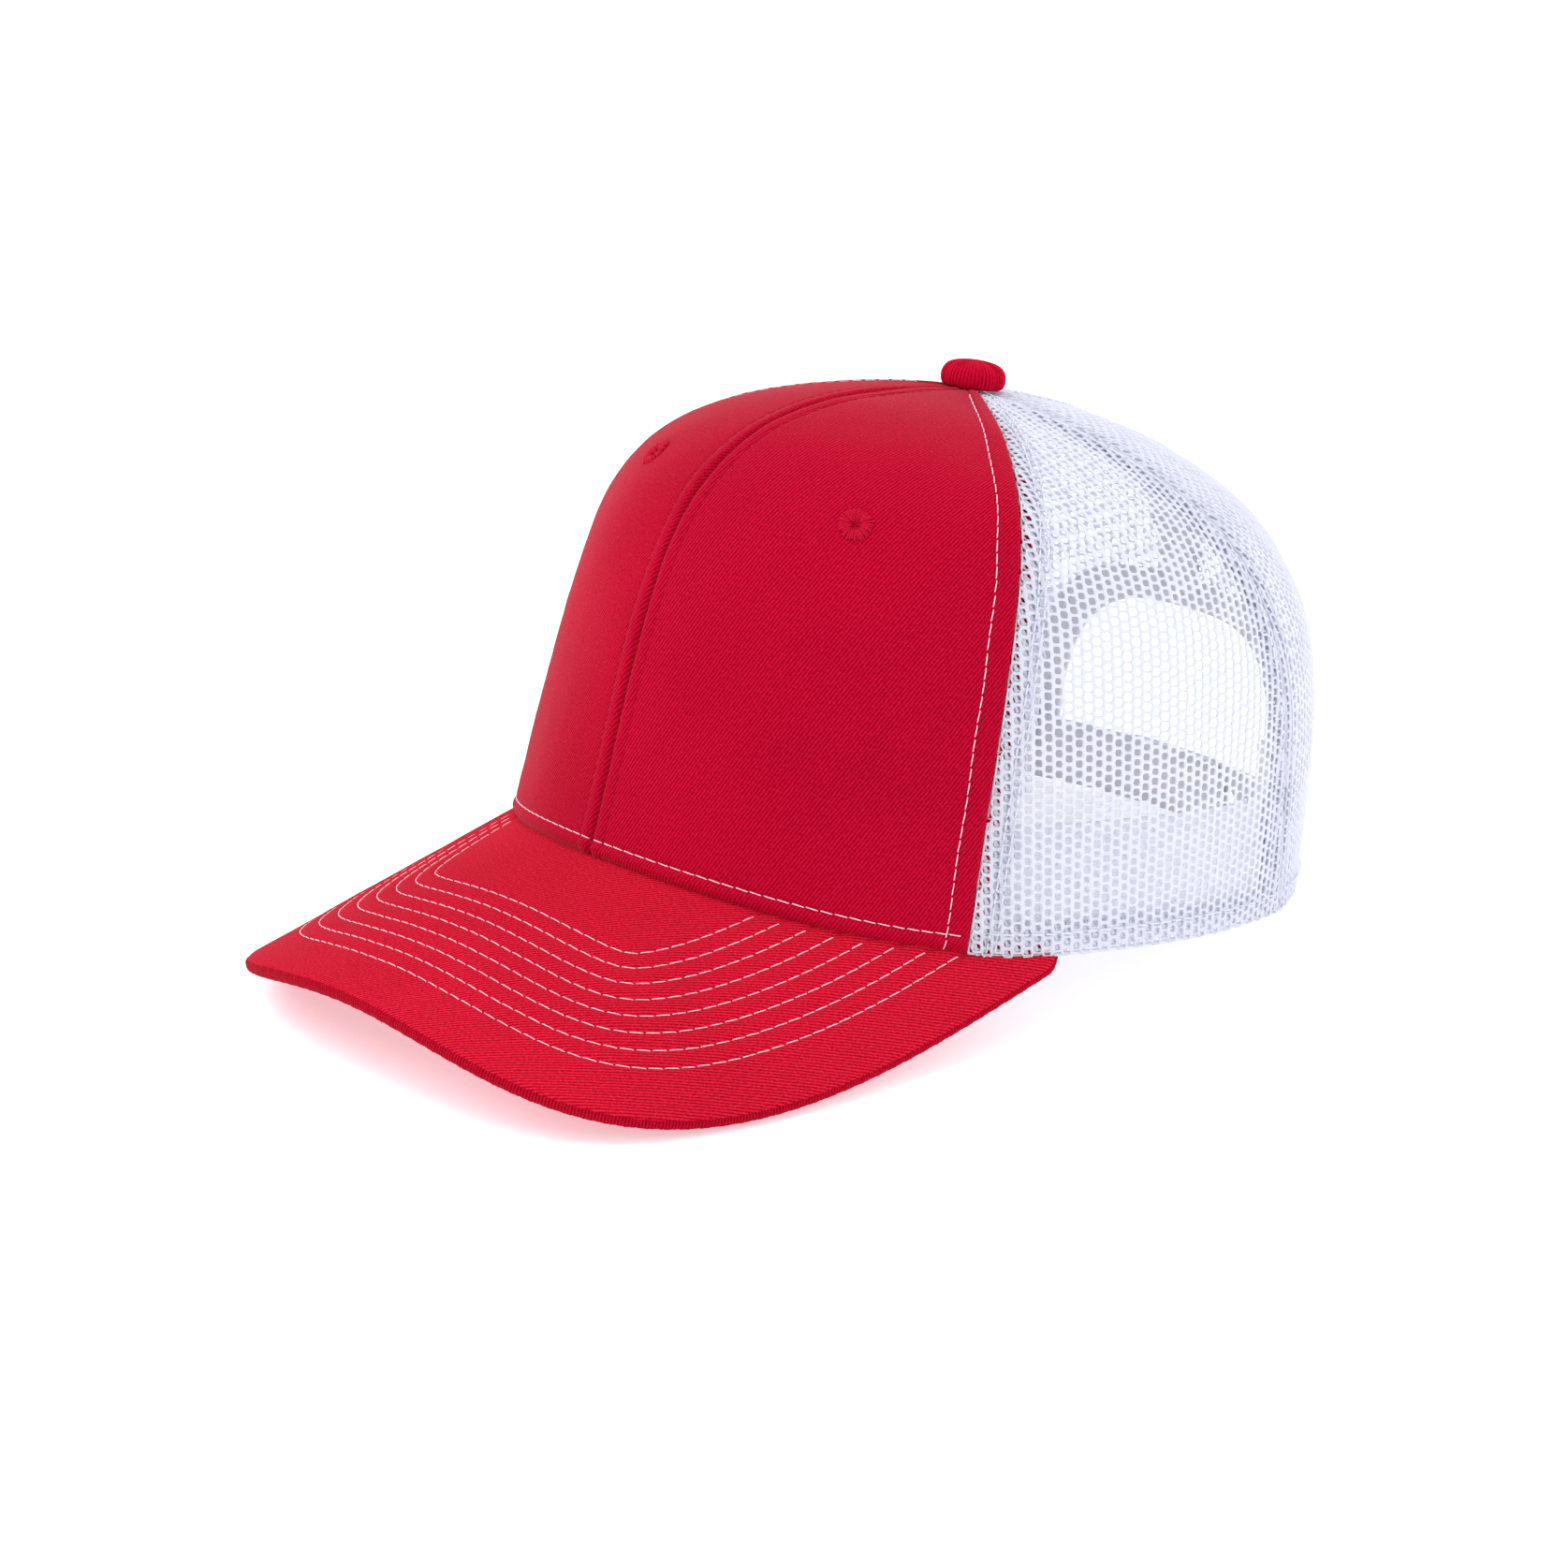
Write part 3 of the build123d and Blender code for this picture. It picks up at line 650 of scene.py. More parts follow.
def reach_button(azimuths, climbs, radius):
    """Climbs for every grid point, stretched near the top so that the last row lies at a radius."""
    share = np.clip((climbs - 0.9) / (climbs[-1] - 0.9), 0, 1)[:, None]
    low = np.minimum(climbs, 0.9)[:, None]
    return low + share * (climb_at_radius(azimuths, radius) - 0.9)


def eyelet_frame(azimuth, climb):
    """Centre, across, up and outward directions of an eyelet in crown millimetres."""
    azimuth_array, climb_array = np.array([abs(azimuth)]), np.array([climb])
    side = 1 if azimuth > 0 else -1
    relief = front_relief(side, azimuth_array, climb_array)
    centre = mirrored(crown_point(azimuth_array, climb_array, relief)[0], side)
    out = mirrored(crown_outward(azimuth_array, climb_array)[0], side)
    across = unit(np.cross(np.array([0.0, 0.0, 1.0]), out))
    return centre, across, np.cross(out, across), out


def front_panel(side, label):
    """One solid front panel: pressed centre seam, raised folded edge beside the net."""
    low_steps = np.array([-0.5, 0.0, 0.4, 0.8, 1.3, 1.8, 2.4, 3.0, 3.5, 3.9, 4.2, 4.5, 4.8, 5.1, 5.6, 6.3])
    climbs = np.concatenate([
        climb_at_height(30.0, low_steps),
        np.linspace(climb_at_height(30.0, 7.2), 0.9, 96),
        np.linspace(0.903, 0.985, 34),
    ])
    near_centre = np.array([0.0, 0.25, 0.5, 0.8, 1.2, 1.7, 2.4, 3.1, 3.5, 3.8, 4.1, 4.5, 5.2])
    near_edge = np.array([0.0, 0.12, 0.3, 0.55, 0.9, 1.5, 2.4, 3.4, 4.3, 4.8, 5.15, 5.4, 5.7, 6.2, 7.0])
    azimuths = seam_grid((0.0, 0.0), FRONT_SEAM, climbs, near_centre, near_edge, 52)
    climb = reach_button(azimuths, climbs, 5.0)
    proud = front_relief(side, azimuths, climb)
    eyelet = mirrored(eyelet_frame(*EYELETS[label])[0], side)
    from_eyelet = np.linalg.norm(crown_skin(azimuths, climb) - eyelet, axis=-1)
    outer = crown_point(azimuths, climb, proud - EYELET_DIMPLE * bell(from_eyelet, 2.0))
    inner = crown_point(azimuths, climb, np.minimum(proud, 0.0) - PANEL_THICKNESS)
    uv = np.stack([
        side * (azimuths - 28.0) * across_rate(azimuths, climb), flat_lengths(crown_skin(azimuths, climb)),
    ], -1) / 1000
    return shell_piece(
        "front_cloth_" + label, to_row(mirrored(outer, side)), to_row(mirrored(inner, side)),
        MATERIALS["front"], uv, flip=side < 0,
    )


def crown_patch(name, material, azimuths, climbs, depths, side=1, wobble=0.0):
    """A plain cloth layer inside the crown between two depths under the skin."""
    climb = np.repeat(climbs[:, None], azimuths.shape[1], 1) if climbs.ndim == 1 else climbs
    skin = crown_skin(azimuths, climb)
    ripple = wobble * soft_noise(skin, 9.0, 21)
    outer = crown_point(azimuths, climb, ripple - depths[0])
    inner = crown_point(azimuths, climb, ripple - depths[1])
    uv = np.stack([azimuths * across_rate(azimuths, climb), flat_lengths(skin)], -1) / 1000
    return shell_piece(
        name, to_row(mirrored(outer, side)), to_row(mirrored(inner, side)), material, uv, flip=side < 0,
    )


def seam_strip(name, material, seam, start, end, low, high, depths, rows=110, columns=9, side=1, wobble=0.0):
    """A strip that follows a seam from start to end millimetres beside it."""
    climbs = np.linspace(low, high, rows)
    line = seam_azimuth(seam, climbs)
    azimuths = np.stack([beside(line, climbs, offset) for offset in np.linspace(start, end, columns)], 1)
    return crown_patch(name, material, azimuths, climbs, depths, side=side, wobble=wobble)


def add_stitches(name, rows, material, slot, body="cap", **style):
    parts = [stitch_row(path, up, **style) for path, up in rows]
    piece = add_swept(name, parts, material)
    return finish_piece(piece, body, slot)


TOP_CLIMB = 0.985
TAPE_START = 0.03
TAPE_TOP = 0.94
TAPE_HALF = 6.0
for side, label in ((1, "left"), (-1, "right")):
    cloth = finish_piece(front_panel(side, label), "cap", "red_twill", "front_panel_" + label)
    declare_cloth(cloth)
    climbs = np.linspace(climb_at_height(30.0, 1.6), 0.955, 60)
    azimuths = seam_grid((0.0, 0.0), FRONT_SEAM, climbs, np.array([0.3, 3.0]), np.array([0.3, 3.0]), 30)
    lining = crown_patch(
        "buckram_lining_" + label, MATERIALS["buckram"], azimuths, reach_button(azimuths, climbs, 10.0),
        (1.0, 1.6), side=side,
    )
    finish_piece(lining, "cap", "buckram", "buckram_" + label)
    declare_cloth(lining)
    tape = seam_strip(
        "front_seam_tape_cloth_" + label, MATERIALS["tape"], FRONT_SEAM, -TAPE_HALF, TAPE_HALF,
        TAPE_START, TAPE_TOP, (1.8, 2.4), side=side,
    )
    finish_piece(tape, "cap", "white_tape", "front_seam_tape_" + label)
    tape = seam_strip(
        "side_seam_tape_cloth_" + label, MATERIALS["tape"], BACK_SEAM, -TAPE_HALF, TAPE_HALF,
        TAPE_START, TAPE_TOP, (1.6, 2.2), side=side,
    )
    finish_piece(tape, "cap", "white_tape", "side_seam_tape_" + label)
    allowance = seam_strip(
        "front_seam_allowance_" + label, MATERIALS["front"], FRONT_SEAM, -2.0, 3.1, 0.0, 0.975, (1.0, 1.5),
        columns=7, side=side, wobble=0.12,
    )
    finish_piece(allowance, "cap", "red_twill")
finish_piece(
    seam_strip(
        "centre_front_tape_cloth", MATERIALS["tape"], (0.0, 0.0), -TAPE_HALF, TAPE_HALF,
        TAPE_START, 0.984, (1.8, 2.4),
    ),
    "cap", "white_tape", "centre_front_tape",
)
arch_climb = float(climb_at_height(180.0, ARCH_HEIGHT + 4))
finish_piece(
    seam_strip(
        "centre_back_tape_cloth", MATERIALS["tape"], (180.0, 0.0), -TAPE_HALF, TAPE_HALF,
        arch_climb, TAPE_TOP, (1.8, 2.4),
    ),
    "cap", "white_tape", "centre_back_tape",
)


# ---------------------------------------------------------------- net panels

NET_COLUMN = 2.45
NET_ROW = 2.25
NET_LEAN = 0.25
HOLE_WIDE = 0.83
HOLE_HIGH = 0.80


class NetPanel:
    """Distances on one panel: s across from its middle and t up from the rim, in millimetres."""

    def __init__(self, first, last):
        self.climbs = np.linspace(0, TOP_CLIMB, 150)
        left = seam_azimuth(first, self.climbs)
        right = seam_azimuth(last, self.climbs)
        azimuth = left[:, None] + (right - left)[:, None] * np.linspace(-0.3, 1.3, 161)
        place = crown_skin(azimuth, self.climbs[:, None])
        arc = np.linalg.norm(np.diff(place, axis=1), axis=2).cumsum(1)
        arc = np.concatenate([arc[:, :1] * 0, arc], 1)
        arc = arc - arc[:, 80:81]
        self.up = run_lengths(place[:, 80])
        self.left = np.array([np.interp(a, line, run) for a, line, run in zip(left, azimuth, arc)])
        self.right = np.array([np.interp(a, line, run) for a, line, run in zip(right, azimuth, arc)])
        self.across = np.arange(-90, 90.1, 0.5)
        self.table = np.stack([np.interp(self.across, run, line) for run, line in zip(arc, azimuth)])
        widths = (self.right - self.left)
        self.area = float(np.sum((widths[1:] + widths[:-1]) / 2 * np.diff(self.up)))

    def limits(self, t):
        return np.interp(t, self.up, self.left), np.interp(t, self.up, self.right)

    def place(self, s, t):
        row = np.clip(np.interp(t, self.up, np.arange(len(self.up))), 0, len(self.up) - 1.001)
        column = np.clip((s - self.across[0]) / 0.5, 0, len(self.across) - 1.001)
        i, j = row.astype(int), column.astype(int)
        a, b = row - i, column - j
        top = self.table[i, j] * (1 - b) + self.table[i, j + 1] * b
        low = self.table[i + 1, j] * (1 - b) + self.table[i + 1, j + 1] * b
        return top * (1 - a) + low * a, np.interp(t, self.up, self.climbs)


def net_layer(panel, shift, keep, relief, low):
    """Vertices (s, t, depth) and faces of one layer of net, one rounded hole per cell."""
    columns = np.arange(-38, 39)
    rows = np.arange(-1, 75)
    i, j = np.meshgrid(columns, rows, indexing="ij")
    s0 = (i * NET_COLUMN + shift[0]).ravel()
    t0 = (j * NET_ROW + (i % 2) * NET_ROW / 2 + shift[1]).ravel()
    left, right = panel.limits(t0)
    inside = (s0 > left) & (s0 < right) & (t0 > low + 0.1) & (t0 < panel.up[-1] - 0.3)
    inside &= keep(s0, t0, left, right)
    s0, t0 = s0[inside], t0[inside]
    half_wide, half_high = NET_COLUMN / 2, NET_ROW / 2
    turns = np.array([
        (1, 0), (1, 1), (0, 1), (-1, 1), (-1, 0), (-1, -1), (0, -1), (1, -1),
    ], float)
    lean = np.where(turns[:, 1] == 0, NET_LEAN, -NET_LEAN) * turns[:, 0]
    border = np.stack([turns[:, 0] * half_wide + lean, turns[:, 1] * half_high], -1)
    corner = np.abs(turns).sum(1) == 2
    hole = np.stack([
        turns[:, 0] * np.where(corner, 0.78, 1.0) * HOLE_WIDE,
        turns[:, 1] * np.where(corner, 0.86, 1.0) * HOLE_HIGH,
    ], -1)
    size = 1 + 0.10 * rng.normal(size=(len(s0), 1, 1)).clip(-2, 2)
    rings = [border, hole * 1.18, hole, hole * 1.18, border]
    depths = [0.28, 0.22, 0.0, -0.22, -0.28]
    spots, level = [], []
    for index, ring in enumerate(rings):
        grown = ring[None] * (size if 0 < index < 4 else 1.0)
        spots.append(np.stack([s0, t0], -1)[:, None] + grown)
        level.append(np.full((len(s0), 8), index))
    spots = np.stack(spots, 1)
    level = np.stack(level, 1)
    s, t = spots[..., 0], np.clip(spots[..., 1], low, panel.up[-1])
    left, right = panel.limits(t)
    inner = (level > 0) & (level < 4)
    s = np.clip(s, left + 0.3 + inner * 0.4, right - 0.3 - inner * 0.4)
    t = np.clip(t, low + inner * 0.4, panel.up[-1])
    s_code = np.round((s + 100) * 40).astype(np.int64)
    t_code = np.round((t + 10) * 40).astype(np.int64)
    code = (s_code * 20000 + t_code) * 5 + level
    unique, first, index = np.unique(code.ravel(), return_index=True, return_inverse=True)
    index = index.reshape(code.shape)
    s, t = s.ravel()[first], t.ravel()[first]
    depth = np.array(depths)[level.ravel()[first]]
    faces = []
    for ring in range(4):
        a, b = index[:, ring], index[:, ring + 1]
        quads = np.stack([a, np.roll(a, -1, 1), np.roll(b, -1, 1), b], -1).reshape(-1, 4)
        faces.append(quads[:, ::-1])
    top, bottom = index[:, 0], index[:, 4]
    ends = np.stack([top, np.roll(top, -1, 1)], -1)
    keys = np.sort(ends, -1)
    keys = (keys[..., 0] * len(unique) + keys[..., 1]).ravel()
    _, where, counts = np.unique(keys, return_inverse=True, return_counts=True)
    lonely = (counts[where] == 1) & (ends[..., 0] != ends[..., 1]).ravel()
    sides = np.stack([top, np.roll(top, -1, 1), np.roll(bottom, -1, 1), bottom], -1).reshape(-1, 4)[lonely]
    faces.append(sides)
    return s, t, depth + relief(s, t), np.concatenate(faces)


def clean_faces(quads):
    """Quads as lists, with repeated corners dropped and empty faces left out."""
    same = quads == np.roll(quads, -1, 1)
    whole = quads[~same.any(1)].tolist()
    for quad in quads[same.any(1)].tolist():
        kept = [v for k, v in enumerate(quad) if v != quad[(k + 1) % 4]]
        if len(kept) >= 3 and len(set(kept)) == len(kept):
            whole.append(kept)
    return whole


def arch_value(azimuth, climb, margin):
    place = crown_skin(azimuth, climb)
    x = np.abs(place[..., 0]) / (ARCH_HALF_WIDTH + margin)
    height = np.maximum(place[..., 2] - BACK_RIM_HEIGHT, 0) / (ARCH_HEIGHT + margin)
    return x**ARCH_SQUARENESS + height**ARCH_SQUARENESS


def net_piece(name, first, last, side, opening=False):
    panel = NetPanel(first, last)

    def clear(s, t):
        if not opening:
            return np.ones(len(s), bool)
        azimuth, climb = panel.place(s, np.clip(t, 0, panel.up[-1]))
        return arch_value(azimuth, climb, 1.0) > 1

    def outside(s, t, left, right):
        return clear(s, t)

    def strip(s, t, left, right):
        near = (s < left + 7.4) | (s > right - 7.4) | (t < 7.0)
        return near & clear(s, t)

    def relief(s, t):
        left, right = panel.limits(t)
        edge = np.minimum(s - left, right - s)
        proud = 0.30 * bell(edge - 2.6, 1.4) - 0.22 * bell(edge - 4.7, 0.5) - 0.22 * bell(edge - 6.5, 0.5)
        azimuth, climb = panel.place(s, t)
        skin = crown_skin(azimuth, climb)
        return proud - 0.45 + 0.35 * soft_noise(skin, 34.0, 31) + 0.10 * soft_noise(skin, 9.0, 32)

    def under_relief(s, t):
        return relief(s, t) - 0.52

    whole = net_layer(panel, (0.0, 0.9), outside, relief, 0.0)
    under = net_layer(panel, (NET_COLUMN * 0.45, 1.6), strip, under_relief, 0.0)
    s = np.concatenate([whole[0], under[0]])
    t = np.concatenate([whole[1], under[1]])
    depth = np.concatenate([whole[2], under[2]])
    azimuth, climb = panel.place(s, t)
    points = to_row(mirrored(crown_point(azimuth, climb, depth), side))
    quads = np.concatenate([whole[3], under[3] + len(whole[0])])
    if side < 0:
        quads = quads[:, ::-1]
    uv = np.stack([s, t], -1) / 1000
    piece = add_mesh(name, points, clean_faces(quads), MATERIALS["net"], uv)
    area = panel.area
    if opening:
        area -= ARCH_HALF_WIDTH * ARCH_HEIGHT * 0.93
    wide = float((panel.right - panel.left).max())
    return piece, wide / 1000, float(panel.up[-1]) / 1000, area / 1e6


for side, label in ((1, "left"), (-1, "right")):
    net, wide, long, area = net_piece("side_net_" + label, FRONT_SEAM, BACK_SEAM, side)
    finish_piece(net, "cap", "white_mesh", "side_mesh_" + label)
    declare_cloth(net, area)
    net, wide, long, area = net_piece("back_net_" + label, BACK_SEAM, (180.0, 0.0), side, True)
    finish_piece(net, "cap", "white_mesh", "back_mesh_" + label)
    declare_cloth(net, area)


# ---------------------------------------------------------------- back opening, rim and sweatband

def climb_at_level(azimuth, level):
    rim = rim_height(azimuth)
    share = np.clip((level - rim) / (CROWN_HEIGHT - rim), -0.03, 1)
    return 1 - (1 - share) ** (1 / PROFILE_SPACING)


def wall_place(x, height):
    """Azimuth and climb of points on the back wall from X and height above the back rim."""
    x, height = np.broadcast_arrays(x, height)
    low, high = np.full(x.shape, 110.0), np.full(x.shape, 180.0)
    for _ in range(32):
        middle = (low + high) / 2
        further = crown_skin(middle, climb_at_level(middle, BACK_RIM_HEIGHT + height))[..., 0] > np.abs(x)
        low = np.where(further, middle, low)
        high = np.where(further, high, middle)
    azimuth = np.where(x < 0, 360 - low, low)
    return azimuth, climb_at_level(azimuth, BACK_RIM_HEIGHT + height)


def wall_point(x, height, proud):
    azimuth, climb = wall_place(x, height)
    return crown_point(azimuth, climb, proud)


def arch_edge(angle, margin):
    power = 2 / ARCH_SQUARENESS
    x = np.sign(np.cos(angle)) * np.abs(np.cos(angle)) ** power * (ARCH_HALF_WIDTH + margin)
    return x, np.abs(np.sin(angle)) ** power * (ARCH_HEIGHT + margin)


def even_arch_angles(count, start=0.5):
    dense = np.radians(np.concatenate([
        np.linspace(start, 4, 60), np.linspace(4, 176, 900), np.linspace(176, 180 - start, 60),
    ]))
    x, height = arch_edge(dense, 3.0)
    run = np.concatenate([[0], np.cumsum(np.hypot(np.diff(x), np.diff(height)))])
    return np.interp(np.linspace(0, run[-1], count), run, dense)


def arch_binding():
    """Tape folded over the edge of the back opening."""
    section = np.array([
        (3.6, 0.05), (3.5, 0.5), (2.4, 0.62), (1.0, 0.6), (0.0, 0.45), (-0.5, 0.0),
        (-0.65, -0.6), (-0.5, -1.2), (0.1, -1.75), (1.5, -1.85), (4.5, -1.8), (7.9, -1.75),
        (8.0, -1.4), (4.5, -1.3), (1.2, -1.3), (0.4, -0.9), (0.4, -0.1), (1.2, 0.1),
    ])
    angles = even_arch_angles(150)
    margin, proud = section[:, 0], section[:, 1]
    x, height = arch_edge(angles[:, None], margin[None])
    points = to_row(wall_point(x, height, np.broadcast_to(proud, x.shape)))
    count, sides = points.shape[:2]
    faces = ring_quads(count, sides).tolist() + [list(range(sides))[::-1]]
    faces.append(list(range((count - 1) * sides, count * sides)))
    along = run_lengths(points[:, 0])
    around = np.concatenate([[0], np.cumsum(np.hypot(*np.diff(section, axis=0).T))]) / 1000
    uv = np.stack(np.broadcast_arrays(along[:, None], around[None]), -1)
    return add_mesh("back_opening_tape", points.reshape(-1, 3), faces, MATERIALS["tape"], uv.reshape(-1, 2))


def round_tube(path, wide, high, up, sides=10):
    along = unit(np.gradient(path, axis=0))
    side = unit(np.cross(along, up))
    points, faces = tube_mesh(path, side, unit(np.cross(side, along)), oval(wide, high, sides))
    return points, faces


finish_piece(arch_binding(), "cap", "white_tape", "back_opening_binding")

rim_parts = []
rim_stitches = []
arch_side = float(wall_place(np.array([ARCH_HALF_WIDTH + 1.0]), np.array([1.0]))[0][0])
for side in (1, -1):
    azimuth = np.linspace(FRONT_SEAM[0] + 0.4, arch_side, 150)
    path, up = crown_line(azimuth, climb_at_height(azimuth, 0.35), np.full(150, -0.75), side)
    rim_parts.append(round_tube(path, 0.00045, 0.00042, up))
    height = climb_at_height(azimuth[:-3], 5.2)
    rim_stitches.append(crown_line(azimuth[:-3], height, 0.02, side))
finish_piece(add_swept("rim_fold", rim_parts, MATERIALS["net"]), "cap", "white_mesh")


def sweatband_shell():
    azimuth = np.linspace(-155, 155, 320)
    section_height = np.array([0.8, 1.2, 4, 8, 12, 16, 20, 24, 27, 28.6, 29.3, 29.5])
    step = smooth_step(np.abs(azimuth), 118.0, 138.0)
    depth = 2.7 + 2.5 * step
    height = section_height[:, None] + 0 * azimuth
    climb = climb_at_height(azimuth[None], height)
    ripple = 0.18 * np.sin(np.radians(azimuth) * 41)[None] * bell(height - 29.5, 5.0)
    pinch = 0.35 * np.array([1, 0.4, 0, 0, 0, 0, 0, 0, 0, 0.1, 0.4, 0.9])[:, None]
    places = np.broadcast_to(azimuth[None], climb.shape)
    outer = crown_point(places, climb, -depth[None] - pinch + ripple)
    inner = crown_point(places, climb, -depth[None] - 1.1 + pinch + ripple)
    uv = np.stack([places * 1.62, height], -1) / 1000
    return shell_piece("sweatband_cloth", to_row(outer), to_row(inner), MATERIALS["band"], uv)


band = finish_piece(sweatband_shell(), "cap", "sweatband_cloth", "sweatband")
declare_cloth(band)


# ---------------------------------------------------------------- crown stitches

white_rows, net_rows, red_rows = [], [], []
for side in (1, -1):
    climb = np.concatenate([np.linspace(0.004, 0.9, 260), np.linspace(0.902, 0.976, 40)])
    seam = seam_azimuth(FRONT_SEAM, climb)
    azimuth = beside(seam, climb, -TOPSTITCH + 0.12 * np.sin(climb * 37))
    white_rows.append(crown_line(azimuth, climb, front_relief(side, azimuth, climb) + 0.05, side))
    for offset in (4.7, 6.5):
        azimuth = beside(seam, climb, offset + 0.1 * np.sin(climb * 41 + offset))
        net_rows.append(crown_line(azimuth, climb, -0.22, side))
    back = seam_azimuth(BACK_SEAM, climb)
    for offset in (-3.2, 3.2):
        net_rows.append(crown_line(beside(back, climb, offset), climb, 0.0, side))
    inner_climb = np.concatenate([np.linspace(0.02, 0.95, 260), np.linspace(0.952, 0.995, 60)])
    azimuth = beside(np.zeros(320), inner_climb, 4.0)
    red_rows.append(crown_line(azimuth, inner_climb, front_relief(side, azimuth, inner_climb) + 0.03, side))
    azimuth = np.linspace(0.4, seam_azimuth(FRONT_SEAM, 0.0) - 1.0, 220)
    hem = climb_at_height(azimuth, HEM_STITCH)
    white_rows.append(crown_line(azimuth, hem, front_relief(side, azimuth, hem) + 0.05, side))
    climb = np.linspace(arch_climb + 0.01, 0.962, 160)
    net_rows.append(crown_line(beside(np.full(160, 180.0), climb, -3.2), climb, 0.0, side))
add_stitches(
    "front_topstitch", white_rows, MATERIALS["white_thread"], "white_tape", thick=0.125, length=2.9, gap=0.26,
)
add_stitches("net_seam_stitches", net_rows, MATERIALS["net"], "white_mesh", thick=0.19, length=2.4, gap=0.35)
add_stitches("rim_stitches", rim_stitches, MATERIALS["net"], "white_mesh", thick=0.19, length=2.9, gap=0.5)
add_stitches(
    "centre_topstitch", red_rows, MATERIALS["red_thread"], "red_thread", thick=0.08, length=2.6, gap=0.4,
)

angles = even_arch_angles(400, 1.5)
x, height = arch_edge(angles, 2.6)
azimuth, climb = wall_place(x, height)
add_stitches(
    "back_opening_stitches", [crown_line(azimuth, climb, 0.62)], MATERIALS["net"], "white_mesh",
    thick=0.18, length=2.6, gap=0.5,
)


# ---------------------------------------------------------------- visor

EDGE_ROUND = 1.8
ROW_SPACING = 4.8
ROW_OFFSETS = 14.1 + ROW_SPACING * np.arange(8)
VISOR_CLOTH = 0.75


def visor_outer(angle, inset):
    power = 2 / VISOR_SQUARENESS
    across = np.sign(np.cos(angle)) * np.abs(np.cos(angle)) ** power * (VISOR_HALF_WIDTH - inset)
    return np.stack([across, VISOR_START + (VISOR_REACH - inset) * np.abs(np.sin(angle)) ** power], -1)


def visor_inner(share, inset=0.0):
    azimuth = VISOR_TIP_AZIMUTH * (1 - 2 * share)
    turn = np.radians(azimuth)
    radius = wave(RIM_WAVES, azimuth) - 0.7 + inset
    x, y = radius * np.sin(turn), -radius * np.cos(turn)
    bend = np.arcsin(x / VISOR_BEND_RADIUS)
    lift = VISOR_RIDGE - VISOR_BEND_RADIUS * (1 - np.cos(bend))
    forward = -(y + lift * math.sin(VISOR_SLOPE)) / math.cos(VISOR_SLOPE)
    return np.stack([VISOR_BEND_RADIUS * bend, forward], -1)


def even_curve(points, count):
    run = np.concatenate([[0], np.cumsum(np.linalg.norm(np.diff(points, axis=0), axis=1))])
    steps = np.linspace(0, run[-1], count)
    return np.stack([np.interp(steps, run, points[:, 0]), np.interp(steps, run, points[:, 1])], -1)


dense = np.concatenate([np.geomspace(1e-6, 0.2, 900), np.linspace(0.2, math.pi / 2 - 0.2, 700)[1:]])
dense = np.concatenate([dense, math.pi / 2 - np.geomspace(0.2, 1e-6, 900)[1:]])
dense = np.concatenate([dense, math.pi - dense[::-1]])
CROWN_EDGE = even_curve(visor_inner(np.linspace(0, 1, 900)), 900)
tip_turn = np.linspace(0, 1, 40)[:, None]
tip = CROWN_EDGE[0] * (1 - tip_turn) ** 2 + np.array([VISOR_HALF_WIDTH, 26.5]) * 2 * tip_turn * (1 - tip_turn)
tip = (tip + np.array([VISOR_HALF_WIDTH, VISOR_START]) * tip_turn**2)[:-1]
OUTLINE = even_curve(np.concatenate([tip, visor_outer(dense, 0.0), tip[::-1] * [-1, 1]]), 900)


def outline_normal(points):
    along = np.gradient(points, axis=0)
    along /= np.linalg.norm(along, axis=1, keepdims=True)
    normal = np.stack([along[:, 1], -along[:, 0]], -1)
    return normal if normal[len(normal) // 2, 1] > 0 else -normal


def outline_distance(flat):
    spots = flat.reshape(-1, 2)
    found = np.empty(len(spots))
    for start in range(0, len(spots), 4000):
        part = spots[start:start + 4000]
        gaps = ((part[:, None] - OUTLINE[None]) ** 2).sum(2)
        found[start:start + 4000] = np.sqrt(gaps.min(1))
    return found.reshape(flat.shape[:-1])


def visor_relief(flat):
    """How far the visor cloth sinks in beside its stitch rows, in millimetres."""
    distance = outline_distance(flat)
    sunk = sum(0.26 * bell(distance - offset, 0.55) for offset in ROW_OFFSETS)
    puff = 0.10 * np.sin((distance - ROW_OFFSETS[0]) / ROW_SPACING * 2 * np.pi - np.pi / 2)
    puff *= smooth_step(distance, 11.0, 15.0) * smooth_step(distance, 51.0, 47.0)
    place = np.concatenate([flat, flat[..., :1] * 0], -1)
    return puff - sunk + 0.06 * soft_noise(place, 16.0, 51)


def visor_grid(rows, columns, inset):
    edge = even_curve(OUTLINE, columns)
    edge = edge - outline_normal(edge) * inset
    start = even_curve(visor_inner(np.linspace(0, 1, 900), -2.0), columns)
    from_tip = np.minimum(np.arange(columns), np.arange(columns)[::-1]) * 330 / columns
    pinch = smooth_step(from_tip, 7.0, 0.0)[:, None]
    start = start * (1 - pinch) + edge * pinch
    share = np.linspace(0, 1, rows)[:, None, None]
    return start[None] * (1 - share) + edge[None] * share, edge


